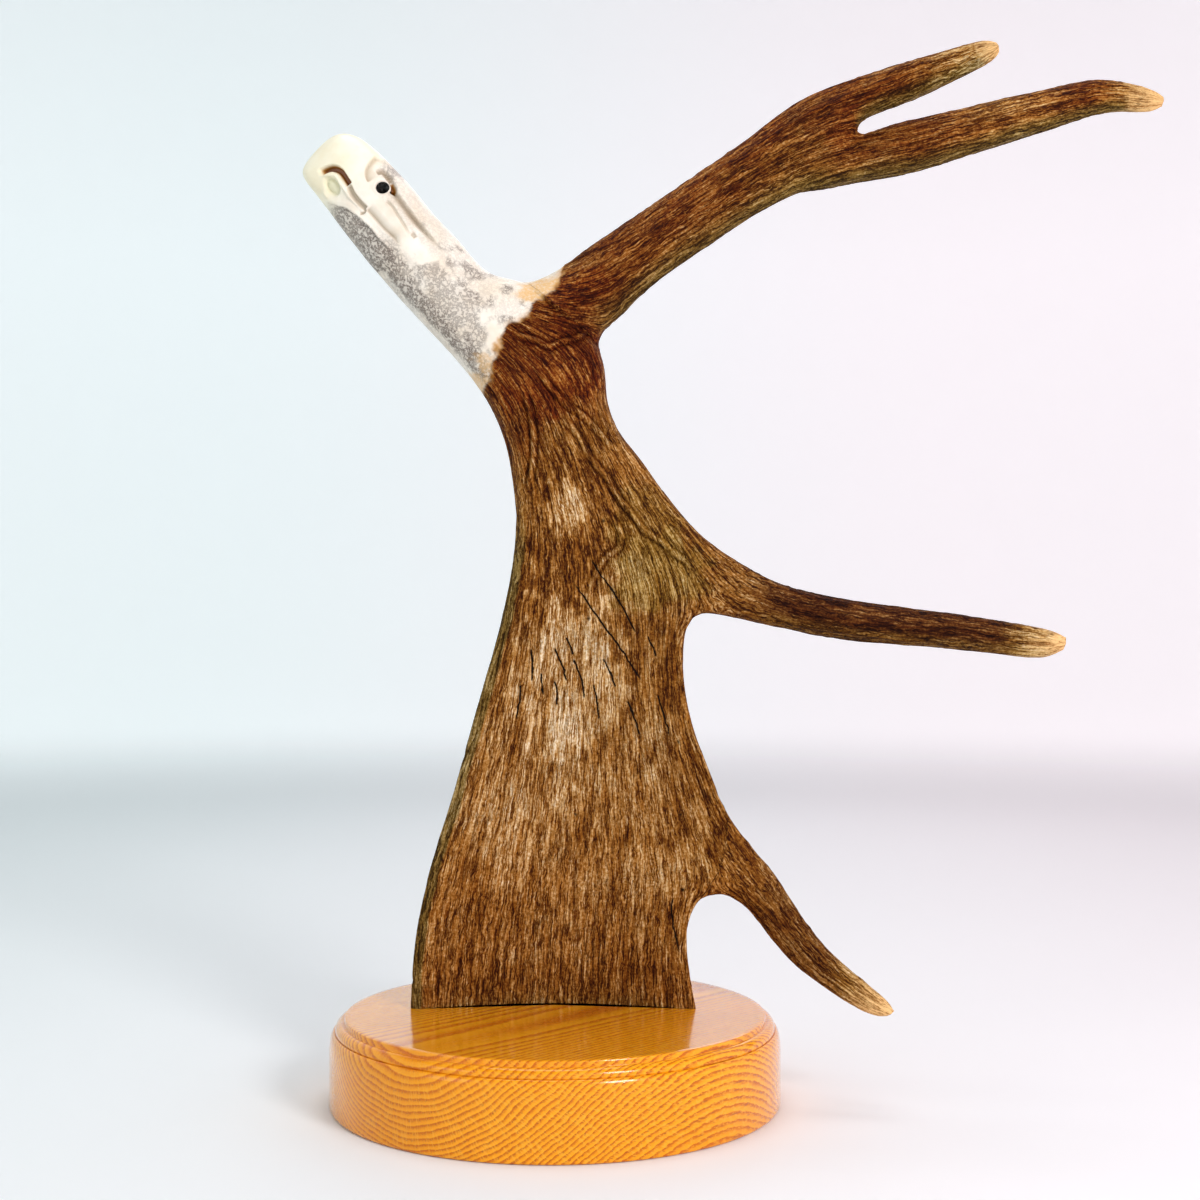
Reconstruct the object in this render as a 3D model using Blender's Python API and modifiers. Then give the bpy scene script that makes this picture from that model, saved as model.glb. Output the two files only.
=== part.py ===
"""A moose antler stood on a round oak base, its beam end carved as an eagle's head.

Lengths below are in millimetres and become metres as the meshes are made.
The origin is the centre of the base's underside, +Z is up, and the antler's
broad face looks towards -Y.
"""

import math

import bmesh
import bpy
import numpy as np
from mathutils import Vector

MM = 0.001
GAP = 0.3                      # between pieces that touch

# Oak base
BASE_RADIUS = 127.0
BASE_HEIGHT = 50.0
BASE_STEPS = 40
TOP_RADIUS = 118.2
FILLET_DROP = 3.0              # the small upright step round the flat top
OVOLO_OUTER = (123.8, 42.4)    # lower end of the quarter round (radius, height)
SHOULDER_START = (124.4, 41.9)
SHOULDER_END = 31.0            # height where the rounded shoulder meets the straight side
FOOT_EASE = 2.0

# Wood screws, up through the base into the palm's cut end
SCREW_X = (-36.0, 36.0)
SCREW_Y = 21.0
SHANK_RADIUS = 2.3
HEAD_RADIUS = 4.6
HEAD_CONE = 3.2
HEAD_EDGE = 0.6                # the head's upright edge, below its cone
SCREW_STEPS = 24
BORE_OVERRUN = 1.0             # how far the cutter of the counterbore starts below the base
SCREW_LENGTH = 66.0
SCREW_POINT = 7.0
COUNTERBORE_RADIUS = 6.0
COUNTERBORE_DEPTH = 12.0
SLOT_WIDTH = 1.2
SLOT_DEPTH = 1.6

# Glass eyes
EYE_RADIUS = 4.6
EYE_X, EYE_Z = -97.3, 514.2
EYE_LEFT_Y, EYE_RIGHT_Y = -10.9, 18.0    # depth of each bead's centre

# The antler is drawn flat, in the (x, z) of its broad face, as rows of stations.
# Each row of the trunk is: left edge, right edge, depth of the edges, how far the
# middle is hollowed back, thickness, and flatness (0 a round section, 1 a plate).
# It runs from behind the beak to the sawn end on the base. A right edge of None
# marks the middle of a limb's root.
BEAK_EDGE = [(-136.5, 514.5), (-141.8, 520.5), (-145.8, 525.5), (-145.4, 531.0),
             (-142.0, 535.5), (-138.2, 540.5), (-132.5, 545.8)]
BEAK_DEPTH = 3.5
TRUNK = [
    ((-129.5, 504.0), (-124.5, 550.5), 3.5, 0, 26, 0.0),
    ((-121.5, 494.0), (-111.5, 547.0), 3.5, 0, 34, 0.0),
    ((-114.0, 484.5), (-96.5, 534.0), 3.5, 0, 38, 0.0),
    ((-106.0, 474.5), (-82.0, 518.5), 4, 0, 40, 0.0),
    ((-96.5, 463.5), (-68.5, 502.0), 5, 0, 41, 0.0),
    ((-85.0, 450.5), (-54.5, 487.5), 6, 0, 41, 0.0),
    ((-69.0, 433.5), (-39.0, 470.5), 7, 0, 42, 0.0),
    ((-54.5, 417.5), (-20.5, 467.0), 8, 0, 43, 0.0),
    ((-43.0, 402.5), None, 8, 0, 43, 0.1),
    ((-35.0, 388.0), (27.5, 426.0), 8, 0, 41, 0.2),
    ((-28.5, 370.5), (29.0, 398.0), 8, 0, 37, 0.3),
    ((-25.0, 350.5), (40.0, 374.5), 7, 1, 33, 0.4),
    ((-23.0, 328.0), (59.0, 350.0), 6, 4, 27, 0.5),
    ((-25.5, 300.0), None, 5, 8, 22, 0.7),
    ((-33.0, 265.0), (73.5, 260.5), 4, 12, 18, 0.8),
    ((-47.5, 213.5), (77.5, 214.0), 4, 16, 14, 1.0),
    ((-60.0, 168.0), (96.5, 167.0), 4, 18, 12, 1.0),
    ((-71.0, 134.0), None, 4, 19, 12, 1.0),
    ((-78.0, 103.5), (80.5, 110.0), 5, 19.5, 11, 1.0),
    ((-81.5, 78.0), (75.5, 83.0), 5, 19.5, 11, 1.0),
    ((-83.0, BASE_HEIGHT + GAP), (80.0, BASE_HEIGHT + GAP), 5, 19.5, 11, 1.0),
]
# A limb's root takes two row intervals of its parent's edge. The rows of a limb
# are: upper edge, lower edge, depth, thickness.
STEM_ROOT = ((2.0, 450.0), 8, 36)
STEM = [
    ((3.0, 476.5), (36.0, 441.5), 6, 30),
    ((31.5, 493.5), (49.0, 457.0), 2, 26),
    ((60.5, 512.0), (78.0, 477.5), -3, 24),
    ((89.5, 531.0), (105.0, 494.0), -8, 23),
    ((113.0, 547.5), (136.0, 507.5), -13, 22),
    ((135.0, 562.5), None, -17, 21),
    ((156.5, 571.0), (168.5, 546.5), -20, 19),
]
UPPER_POINT = [
    ((176.0, 576.5), (186.5, 555.0), -24, 17),
    ((197.0, 581.5), (207.5, 563.5), -30, 15.5),
    ((218.0, 585.5), (225.5, 571.0), -37, 12.5),
    ((234.5, 588.5), (240.0, 577.5), -43, 9),
    ((241.5, 586.5), (243.0, 581.5), -46, 5),
]
LOWER_ROOT = ((160.0, 528.5), -17, 22)
LOWER_POINT = [
    ((184.5, 549.0), (163.0, 514.5), -18, 23),
    ((212.5, 554.5), (193.5, 520.0), -20, 23),
    ((242.5, 561.0), (225.0, 528.5), -23, 22),
    ((272.5, 566.5), (259.0, 539.0), -26, 20),
    ((297.0, 571.0), (288.0, 547.5), -29, 17),
    ((315.5, 568.5), (308.5, 552.8), -32, 13),
    ((330.5, 564.0), (326.5, 551.5), -34, 9),
    ((336.0, 560.0), (335.0, 554.5), -35, 5),
]
MIDDLE_ROOT = ((74.0, 306.0), 5, 20)
MIDDLE_TINE = [
    ((86.5, 318.0), (89.5, 273.5), 1, 21),
    ((112.5, 299.5), (109.5, 271.0), -3, 21),
    ((137.5, 289.0), (135.0, 265.0), -8, 21),
    ((171.0, 282.0), (168.0, 259.5), -14, 20.5),
    ((209.0, 277.0), (206.0, 256.5), -20, 18.5),
    ((246.5, 271.0), (243.5, 253.0), -27, 16),
    ((272.5, 266.5), (268.5, 250.5), -32, 13),
    ((281.5, 262.0), (280.0, 255.0), -34, 6),
]
LOW_ROOT = ((95.0, 134.0), 4, 13)
LOW_TINE = [
    ((119.0, 136.0), (102.5, 111.5), 2, 14),
    ((135.5, 110.5), (118.5, 96.0), -2, 14),
    ((148.5, 92.0), (130.5, 81.0), -8, 14),
    ((162.0, 79.0), (145.5, 69.5), -15, 13),
    ((175.0, 68.5), (160.0, 60.5), -22, 11),
    ((184.5, 60.5), (175.0, 53.5), -27, 8),
    ((187.5, 56.0), (183.0, 53.0), -29, 4.5),
]
TRUNK_COLUMNS = 6
FIT_ROUNDS = 4
FORK_EASE = 0.3                # how far the points of a fork are fitted
SMOOTH_LEVELS = 2
FORK_SPREAD = 0.8              # how much of the easing at a fork reaches the points beside it
FORK_ROUNDS = 10
PLATE_POWER = 0.35             # how square the edges of a plate are
SHARP_ANGLE = 50               # degrees between faces that shade as an edge
THINNED = {"beam_head": 0.45, "hub": 0.42, "palm": 0.37, "brow_stem": 0.65,    # share of faces kept
           "lower_point": 0.75, "middle_tine": 0.75, "lower_tine": 0.8}

LIMBS = ["beam_head", "hub", "palm", "brow_stem", "upper_point", "lower_point",
         "middle_tine", "lower_tine"]
BEAM_ROWS = 8                  # rows of the trunk that belong to the beam and head
HUB_ROWS = 13                  # rows above the palm


def clear_scene():
    for old in list(bpy.data.objects):
        bpy.data.objects.remove(old, do_unlink=True)


def new_collection(name):
    collection = bpy.data.collections.new(name)
    bpy.context.scene.collection.children.link(collection)
    return collection


def material(name, color, roughness, metallic=0.0):
    made = bpy.data.materials.new(name)
    made.use_nodes = True
    shader = made.node_tree.nodes["Principled BSDF"]
    shader.inputs["Base Color"].default_value = (*color, 1)
    shader.inputs["Roughness"].default_value = roughness
    shader.inputs["Metallic"].default_value = metallic
    made.diffuse_color = (*color, 1)
    return made


def add_object(name, mesh, collection, finish):
    made = bpy.data.objects.new(name, mesh)
    collection.objects.link(made)
    if finish:
        mesh.materials.clear()
        mesh.materials.append(finish)
    return made


def turned(name, profile, steps, collection, finish):
    """A profile of (radius, height) turned about Z by a Screw modifier."""
    mesh = bpy.data.meshes.new(name)
    points = [(r * MM, 0, z * MM) for r, z in profile]
    edges = [(i, i + 1) for i in range(len(points) - 1)]
    mesh.from_pydata(points, edges, [])
    made = add_object(name, mesh, collection, finish)
    screw = made.modifiers.new("Turn", "SCREW")
    screw.steps = screw.render_steps = steps
    screw.use_merge_vertices = True
    screw.merge_threshold = 0.00005
    return made


def make_cutter(made):
    made.hide_render = True
    made.display_type = "WIRE"
    return made


def cut(target, cutter):
    boolean = target.modifiers.new("Cut " + cutter.name, "BOOLEAN")
    boolean.operation = "DIFFERENCE"
    boolean.solver = "EXACT"
    boolean.object = cutter


# ---- the antler's cage ----

class Cage:
    """Points and quads of the antler's cage. A station is a (front, back) pair of
    point numbers, the same number twice on the outline."""

    def __init__(self):
        self.points = []
        self.faces = []
        self.limbs = []

    def rim(self, x, y, z):
        self.points.append((x, y, z))
        return (len(self.points) - 1, len(self.points) - 1)

    def inner(self, x, y, z, thickness):
        self.points.append((x, y - thickness / 2, z))
        self.points.append((x, y + thickness / 2, z))
        return (len(self.points) - 2, len(self.points) - 1)

    def face(self, corners, limb):
        self.faces.append(corners)
        self.limbs.append(LIMBS.index(limb))

    def skin(self, upper, lower, limb):
        """Front and back quads between two rows of stations."""
        for i in range(len(upper) - 1):
            front = [upper[i][0], lower[i][0], lower[i + 1][0], upper[i + 1][0]]
            back = [upper[i][1], upper[i + 1][1], lower[i + 1][1], lower[i][1]]
            self.face(front, limb)
            self.face(back, limb)


def across(column, flatness):
    """Share of the width and of the thickness at a column of the trunk."""
    angle = math.pi * column / TRUNK_COLUMNS
    width = (1 - math.cos(angle)) / 2
    round_share = math.sin(angle)
    plate_share = round_share ** PLATE_POWER if round_share > 1e-9 else 0.0
    return width, round_share + (plate_share - round_share) * flatness


def trunk_row(cage, row, root=None):
    left, right, depth, cup, thickness, flatness = row
    if root:
        right, _, root_thickness = root
    stations = []
    for column in range(TRUNK_COLUMNS + 1):
        width, share = across(column, flatness)
        x = left[0] + (right[0] - left[0]) * width
        z = left[1] + (right[1] - left[1]) * width
        y = depth + cup * 4 * width * (1 - width)
        thick = thickness * share
        if root and width > 0.5:
            towards = (width - 0.5) * 2
            full = thickness + (root_thickness - thickness) * towards
            thick = full * (share + (1 - share) * towards)
        if column == 0 or (column == TRUNK_COLUMNS and not root):
            stations.append(cage.rim(x, y, z))
        else:
            stations.append(cage.inner(x, y, z, thick))
    return stations


def limb_row(cage, row, root=None):
    upper, lower, depth, thickness = row
    end = root[0] if root else lower
    middle = cage.inner((upper[0] + end[0]) / 2, depth, (upper[1] + end[1]) / 2, thickness)
    if root:
        (x, z), root_depth, root_thickness = root
        last = cage.inner(x, root_depth, z, root_thickness)
    else:
        last = cage.rim(lower[0], depth, lower[1])
    return [cage.rim(upper[0], depth, upper[1]), middle, last]


def grow(cage, root, rows, limb, root_limb, branch_root=None):
    """A limb of two columns from its root row to its last row. The first interval
    belongs to the parent, so that the limb is parted just beyond the fork."""
    previous = root
    made = []
    for number, row in enumerate(rows):
        current = limb_row(cage, row, branch_root if row[1] is None else None)
        cage.skin(previous, current, root_limb if number == 0 else limb)
        made.append(current)
        previous = current
    return made


def close_tip(cage, row, limb):
    upper, middle, lower = row
    cage.face([upper[0], middle[0], lower[0], middle[1]], limb)


def antler_cage():
    cage = Cage()
    edge = [cage.rim(x, BEAK_DEPTH, z) for x, z in BEAK_EDGE]
    roots = iter((STEM_ROOT, MIDDLE_ROOT, LOW_ROOT))
    rows = [edge]
    for row in TRUNK:
        rows.append(trunk_row(cage, row, next(roots) if row[1] is None else None))
    for number in range(len(rows) - 1):
        limb = "beam_head" if number < BEAM_ROWS else "hub" if number < HUB_ROWS else "palm"
        cage.skin(rows[number], rows[number + 1], limb)

    right = [row[-1] for row in rows]
    bare = [number + 1 for number, row in enumerate(TRUNK) if row[1] is None]
    stem_root, middle_root, low_root = [[right[n - 1], right[n], right[n + 1]] for n in bare]
    stem = grow(cage, stem_root, STEM, "brow_stem", "hub", LOWER_ROOT)
    upper = grow(cage, stem[-1], UPPER_POINT, "upper_point", "brow_stem")
    lower = [row[-1] for row in stem[-3:]]
    lower = grow(cage, lower[::-1], LOWER_POINT, "lower_point", "brow_stem")
    middle = grow(cage, middle_root, MIDDLE_TINE, "middle_tine", "palm")
    low = grow(cage, low_root, LOW_TINE, "lower_tine", "palm")
    for rows, limb in ((upper, "upper_point"), (lower, "lower_point"),
                       (middle, "middle_tine"), (low, "lower_tine")):
        close_tip(cage, rows[-1], limb)
    return cage


def fitted(points, faces):
    """Moves the cage outwards so that the smooth surface passes near the stations."""
    target = np.array(points)
    count = len(target)
    beside, beyond, sides = {}, {}, {}
    for face in faces:
        for i in range(4):
            here, nxt, far = face[i], face[(i + 1) % 4], face[(i + 2) % 4]
            beyond.setdefault(here, []).append(far)
            sides[frozenset((here, nxt))] = sides.get(frozenset((here, nxt)), 0) + 1
    for side in sides:
        a, b = side
        beside.setdefault(a, []).append(b)
        beside.setdefault(b, []).append(a)
    open_ends = {}
    for side, uses in sides.items():
        if uses == 1:
            a, b = side
            open_ends.setdefault(a, []).append(b)
            open_ends.setdefault(b, []).append(a)
    weights = np.zeros((count, count))
    for here in range(count):
        if here in open_ends:
            weights[here, here] = 4 / 6
            weights[here, open_ends[here]] = 1 / 6
            continue
        n = len(beside[here])
        whole = n * (n + 5)
        weights[here, here] = n * n / whole
        for other in beside[here]:
            weights[here, other] += 4 / whole
        for other in beyond[here]:
            weights[here, other] += 1 / whole
    ease = np.ones((count, 1))
    for here in range(count):
        if here not in open_ends and len(beside[here]) != 4:
            ease[here] = 0 if len(beside[here]) < 4 else FORK_EASE
    for here in range(count):
        if len(beside[here]) == 2:
            ease[beside[here]] = 0
    moved = target.copy()
    for _ in range(FIT_ROUNDS):
        moved += ease * (target - weights @ moved)
    return moved


def fork_shares(count, faces):
    """1 at the points of a fork, less beside them, and 0 elsewhere."""
    near = {}
    for face in faces:
        for i in range(4):
            near.setdefault(face[i], set()).update((face[i - 1], face[(i + 1) % 4]))
    shares = np.zeros(count)
    for here, others in near.items():
        if len(others) > 4:
            shares[here] = 1
            for other in others:
                shares[other] = max(shares[other], FORK_SPREAD)
    return shares


def smooth_antler(cage, finishes):
    """The whole antler as one smooth mesh, eased at its forks, each face marked with its limb."""
    mesh = bpy.data.meshes.new("antler")
    mesh.from_pydata([tuple(p * MM) for p in fitted(cage.points, cage.faces)], [], cage.faces)
    for finish in finishes:
        mesh.materials.append(finish)
    mesh.polygons.foreach_set("material_index", cage.limbs)
    whole = bpy.data.objects.new("antler_cage", mesh)
    bpy.context.scene.collection.objects.link(whole)
    smooth = whole.modifiers.new("Smooth", "SUBSURF")
    smooth.levels = smooth.render_levels = SMOOTH_LEVELS
    group = whole.vertex_groups.new(name="forks")
    for point, share in enumerate(fork_shares(len(cage.points), cage.faces)):
        group.add([point], float(share), "REPLACE")
    ease = whole.modifiers.new("Ease", "SMOOTH")
    ease.factor = 0.5
    ease.iterations = FORK_ROUNDS
    ease.vertex_group = group.name
    bpy.context.view_layer.update()
    made = bpy.data.meshes.new_from_object(whole.evaluated_get(bpy.context.evaluated_depsgraph_get()))
    bpy.data.objects.remove(whole, do_unlink=True)
    return made


def open_loops(bm):
    """The open edges of the mesh, as lists of vertices in order."""
    left = {edge for edge in bm.edges if edge.is_boundary}
    loops = []
    while left:
        edge = left.pop()
        loop = [edge.verts[0], edge.verts[1]]
        while True:
            following = [e for e in loop[-1].link_edges if e in left]
            if not following:
                break
            left.remove(following[0])
            loop.append(following[0].other_vert(loop[-1]))
        loops.append(loop[:-1])
    return loops


def part_limb(whole, number, name, collection, finish):
    """One limb of the smooth mesh: its own faces, with each sawn or parted end made
    flat, drawn back by half the gap, and closed."""
    bm = bmesh.new()
    bm.from_mesh(whole)
    others = [face for face in bm.faces if face.material_index != number]
    bmesh.ops.delete(bm, geom=others, context="FACES")
    body = sum((v.co for v in bm.verts), Vector()) / len(bm.verts)
    for loop in open_loops(bm):
        centre = sum((v.co for v in loop), Vector()) / len(loop)
        normal = Vector()
        for here, following in zip(loop, loop[1:] + loop[:1]):
            normal += (here.co - centre).cross(following.co - centre)
        normal.normalize()
        if (body - centre).dot(normal) < 0:
            normal.negate()
        on_base = centre.z < (BASE_HEIGHT + 2 * GAP) * MM
        back = 0 if on_base else GAP / 2 * MM
        for vert in loop:
            vert.co += normal * (back - (vert.co - centre).dot(normal))
        bm.faces.new(loop)
    bmesh.ops.recalc_face_normals(bm, faces=bm.faces)
    for face in bm.faces:
        face.material_index = 0
        face.smooth = True
    mesh = bpy.data.meshes.new(name)
    bm.to_mesh(mesh)
    bm.free()
    made = add_object(name, mesh, collection, finish)
    mesh.set_sharp_from_angle(angle=math.radians(SHARP_ANGLE))
    return made


def build_antler(collection):
    bone = {
        "beam_head": (0.78, 0.74, 0.66),
        "hub": (0.30, 0.15, 0.05),
        "palm": (0.36, 0.22, 0.09),
        "brow_stem": (0.26, 0.13, 0.04),
        "upper_point": (0.33, 0.20, 0.07),
        "lower_point": (0.27, 0.12, 0.04),
        "middle_tine": (0.31, 0.16, 0.05),
        "lower_tine": (0.38, 0.24, 0.10),
    }
    finishes = [material(name, bone[name], 0.45) for name in LIMBS]
    whole = smooth_antler(antler_cage(), finishes)
    limbs = {}
    for number, name in enumerate(LIMBS):
        limbs[name] = part_limb(whole, number, name, collection, finishes[number])
        if name in THINNED:
            thin = limbs[name].modifiers.new("Thin", "DECIMATE")
            thin.ratio = THINNED[name]
    bpy.data.meshes.remove(whole)
    return limbs


# ---- base, screws and eyes ----

def arc(start, end, steps):
    """A quarter of an ellipse that leaves start level and reaches end upright."""
    points = []
    for step in range(1, steps + 1):
        angle = math.pi / 2 * step / steps
        points.append((start[0] + (end[0] - start[0]) * math.sin(angle),
                       end[1] + (start[1] - end[1]) * math.cos(angle)))
    return points


def build_base(collection):
    oak = material("oak", (0.72, 0.38, 0.10), 0.25)
    ledge = (TOP_RADIUS + 1.6, BASE_HEIGHT - FILLET_DROP)
    profile = [(0, BASE_HEIGHT), (TOP_RADIUS, BASE_HEIGHT),
               (TOP_RADIUS + 0.5, BASE_HEIGHT - FILLET_DROP + 0.4), ledge]
    profile += arc(ledge, OVOLO_OUTER, 3)
    profile.append(SHOULDER_START)
    profile += arc(SHOULDER_START, (BASE_RADIUS, SHOULDER_END), 3)
    profile += [(BASE_RADIUS, FOOT_EASE), (BASE_RADIUS - FOOT_EASE, 0), (0, 0)]
    return turned("base", profile, BASE_STEPS, collection, oak)


def screw_profile(extra=0.0):
    """A countersunk wood screw, head down at z = 0, grown all round by extra."""
    shank = SHANK_RADIUS + extra
    head = HEAD_RADIUS + extra
    return [(0, SCREW_LENGTH + extra), (shank, SCREW_LENGTH - SCREW_POINT + extra),
            (shank, HEAD_CONE + extra), (head, extra), (head, -HEAD_EDGE - extra),
            (0, -HEAD_EDGE - extra)]


def build_screw(name, x, collection, cutters, steel, base, palm):
    made = turned(name, screw_profile(), SCREW_STEPS, collection, steel)
    hole = turned(name + "_hole", screw_profile(GAP), SCREW_STEPS, cutters, None)
    bore_profile = [(0, COUNTERBORE_DEPTH), (COUNTERBORE_RADIUS, COUNTERBORE_DEPTH),
                    (COUNTERBORE_RADIUS, -BORE_OVERRUN), (0, -BORE_OVERRUN)]
    bore = turned(name + "_counterbore", bore_profile, SCREW_STEPS, cutters, None)
    bpy.ops.mesh.primitive_cube_add(size=1)
    slot = bpy.context.object
    slot.name = name + "_slot"
    slot.scale = (HEAD_RADIUS * 3 * MM, SLOT_WIDTH * MM, SLOT_DEPTH * 2 * MM)
    for collection_of_slot in list(slot.users_collection):
        collection_of_slot.objects.unlink(slot)
    cutters.objects.link(slot)
    seat = (x * MM, SCREW_Y * MM, COUNTERBORE_DEPTH * MM)
    made.location = seat
    hole.location = seat
    slot.location = (seat[0], seat[1], seat[2] - HEAD_EDGE * MM)
    bore.location = (seat[0], seat[1], 0)
    for cutter in (hole, bore, slot):
        make_cutter(cutter)
    cut(made, slot)
    cut(base, bore)
    cut(base, hole)
    cut(palm, hole)


def build_eye(name, y, side, collection, cutters, glass, head):
    bpy.ops.mesh.primitive_uv_sphere_add(segments=16, ring_count=8, radius=EYE_RADIUS * MM)
    made = bpy.context.object
    made.name = name
    bpy.ops.mesh.primitive_uv_sphere_add(segments=16, ring_count=8, radius=(EYE_RADIUS + GAP) * MM)
    pocket = bpy.context.object
    pocket.name = name + "_pocket"
    for thing, home in ((made, collection), (pocket, cutters)):
        for old in list(thing.users_collection):
            old.objects.unlink(thing)
        home.objects.link(thing)
        thing.rotation_euler = (side * math.pi / 2, 0, 0)
        thing.location = (EYE_X * MM, y * MM, EYE_Z * MM)
    made.data.materials.append(glass)
    made.data.shade_smooth()
    make_cutter(pocket)
    cut(head, pocket)


def main():
    clear_scene()
    collection = new_collection("moose_antler")
    cutters = new_collection("cutters")
    base = build_base(collection)
    limbs = build_antler(collection)
    steel = material("screw_steel", (0.62, 0.60, 0.55), 0.3, 1.0)
    for name, x in zip(("screw_left", "screw_right"), SCREW_X):
        build_screw(name, x, collection, cutters, steel, base, limbs["palm"])
    glass = material("eye_glass", (0.01, 0.01, 0.01), 0.05)
    build_eye("eye_left", EYE_LEFT_Y, 1, collection, cutters, glass, limbs["beam_head"])
    build_eye("eye_right", EYE_RIGHT_Y, -1, collection, cutters, glass, limbs["beam_head"])


main()
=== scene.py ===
# %% [markdown]
# # A carved moose antler on an oak base
#
# The real thing is one moose antler. Its burr end was sawn off and the beam above it was carved and
# polished as an eagle's head with two black glass eyes. The palm was cut straight across and
# screwed, standing up, to a round moulded base of clear-lacquered oak.
#
# The solids that carry the object are loaded first. Nothing in this script moves them: it lays a
# finer surface over them and gives every surface its finish.

import math

import bpy
import numpy as np
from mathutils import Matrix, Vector


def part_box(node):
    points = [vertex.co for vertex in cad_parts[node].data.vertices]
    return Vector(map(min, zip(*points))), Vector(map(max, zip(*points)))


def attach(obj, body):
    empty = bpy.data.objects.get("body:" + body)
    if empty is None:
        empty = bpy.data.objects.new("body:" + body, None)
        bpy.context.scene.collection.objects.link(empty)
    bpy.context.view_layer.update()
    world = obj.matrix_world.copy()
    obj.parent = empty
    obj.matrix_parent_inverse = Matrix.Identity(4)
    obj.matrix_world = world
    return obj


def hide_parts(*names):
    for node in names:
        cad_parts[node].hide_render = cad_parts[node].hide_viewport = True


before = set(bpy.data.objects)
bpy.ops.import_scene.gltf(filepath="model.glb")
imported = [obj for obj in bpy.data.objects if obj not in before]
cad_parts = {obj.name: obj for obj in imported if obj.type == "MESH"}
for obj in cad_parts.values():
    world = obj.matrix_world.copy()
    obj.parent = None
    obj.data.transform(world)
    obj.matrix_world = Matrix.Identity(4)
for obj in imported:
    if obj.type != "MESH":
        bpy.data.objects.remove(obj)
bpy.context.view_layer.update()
print("solids:", ", ".join(sorted(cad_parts)))

MM = 0.001


# %% [markdown]
# ## Small helpers
#
# Operators act on whatever is selected, and the loaded solids start out selected, so each piece
# begins by clearing the selection. When a piece is done it rides on the one body there is and stands
# in for its plain solid; the name of its material slot is only printed.

# %% Selecting, applying and handing over a piece
def clear_selection():
    for other in bpy.context.selected_objects:
        other.select_set(False)


def only(piece):
    """Makes piece the only selected object, and the active one."""
    clear_selection()
    piece.select_set(True)
    bpy.context.view_layer.objects.active = piece


def apply_modifiers(piece):
    only(piece)
    for modifier in list(piece.modifiers):
        bpy.ops.object.modifier_apply(modifier=modifier.name)


def hand_over(piece, slot, *nodes):
    """Rides piece on the body, and lets it stand for the plain solids of these nodes."""
    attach(piece, "root")
    if nodes:
        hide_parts(*nodes)
    print(f"{piece.name}: {len(piece.data.polygons)} faces, slot {slot}")


# %% [markdown]
# ## Camera
#
# The view is level with the middle of the antler and a little right of it, from about a metre away,
# tilted up by less than a degree. A 54 mm lens on a 36 mm frame fills the square picture.

# %% Camera
CAMERA_PLACE = (0.0252, -1.0242, 0.2700)
CAMERA_TILT = 90.72            # degrees from looking straight down
clear_selection()
bpy.ops.object.camera_add(location=CAMERA_PLACE, rotation=(math.radians(CAMERA_TILT), 0, 0))
camera = bpy.context.object
camera.name = "camera"
camera.data.lens = 54.0
camera.data.sensor_width = 36.0
camera.data.clip_start = 0.05
camera.data.clip_end = 20
bpy.context.scene.camera = camera
print("camera at", CAMERA_PLACE)


# %% [markdown]
# ## Node helpers
#
# A finish is a set of nodes. These helpers add a node, set it and link what goes into it, so that a
# material reads from top to bottom like a recipe. A value that is the same all over a surface is set
# on the shader's own socket and passes through no node.

# %% Nodes, maths and masks
def node(tree, kind, inputs=None, **settings):
    """Adds a node. inputs maps a socket's name or number to a value or to another socket."""
    made = tree.nodes.new(kind)
    for name, value in settings.items():
        setattr(made, name, value)
    for key, value in (inputs or {}).items():
        if isinstance(value, bpy.types.NodeSocket):
            tree.links.new(value, made.inputs[key])
        else:
            made.inputs[key].default_value = value
    return made


def maths(tree, operation, first, second=0.0):
    return node(tree, "ShaderNodeMath", {0: first, 1: second}, operation=operation).outputs[0]


def weighed(tree, start, *parts):
    """start plus each value times its weight."""
    total = start
    for value, weight in parts:
        total = node(tree, "ShaderNodeMath", {0: value, 1: weight, 2: total},
                     operation="MULTIPLY_ADD").outputs[0]
    return total


def product(tree, first, *others):
    for other in others:
        first = maths(tree, "MULTIPLY", first, other)
    return first


def spread(tree, value, low, high, to_low=0.0, to_high=1.0):
    """Maps low..high to to_low..to_high with soft ends."""
    made = node(tree, "ShaderNodeMapRange", {"Value": value, "From Min": low, "From Max": high,
                                             "To Min": to_low, "To Max": to_high})
    made.interpolation_type = "SMOOTHSTEP"
    return made.outputs["Result"]


def near_middle(tree, value, width):
    """1 where a noise crosses its middle, 0 past width: thin branching lines."""
    off = maths(tree, "ABSOLUTE", maths(tree, "SUBTRACT", value, 0.5))
    return spread(tree, off, 0.0, width, 1.0, 0.0)


# %% Places, noise and colours
def object_place(tree):
    return node(tree, "ShaderNodeTexCoord").outputs["Object"]


def axes(tree, where):
    return node(tree, "ShaderNodeSeparateXYZ", {0: where}).outputs[:3]


def scaled(tree, where, factors):
    return node(tree, "ShaderNodeVectorMath", {0: where, 1: factors}, operation="MULTIPLY").outputs[0]


def noise(tree, where, scale, detail=3.0, rough=0.55):
    made = node(tree, "ShaderNodeTexNoise", {"Vector": where, "Scale": scale, "Detail": detail,
                                             "Roughness": rough})
    return made.outputs["Fac"]


def blend(tree, share, first, second):
    """The first colour where share is 0, the second where it is 1."""
    made = node(tree, "ShaderNodeMix", {0: share}, data_type="RGBA")
    for socket, value in ((made.inputs[6], first), (made.inputs[7], second)):
        if isinstance(value, bpy.types.NodeSocket):
            tree.links.new(value, socket)
        else:
            socket.default_value = (*value, 1)
    return made.outputs[2]


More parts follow.
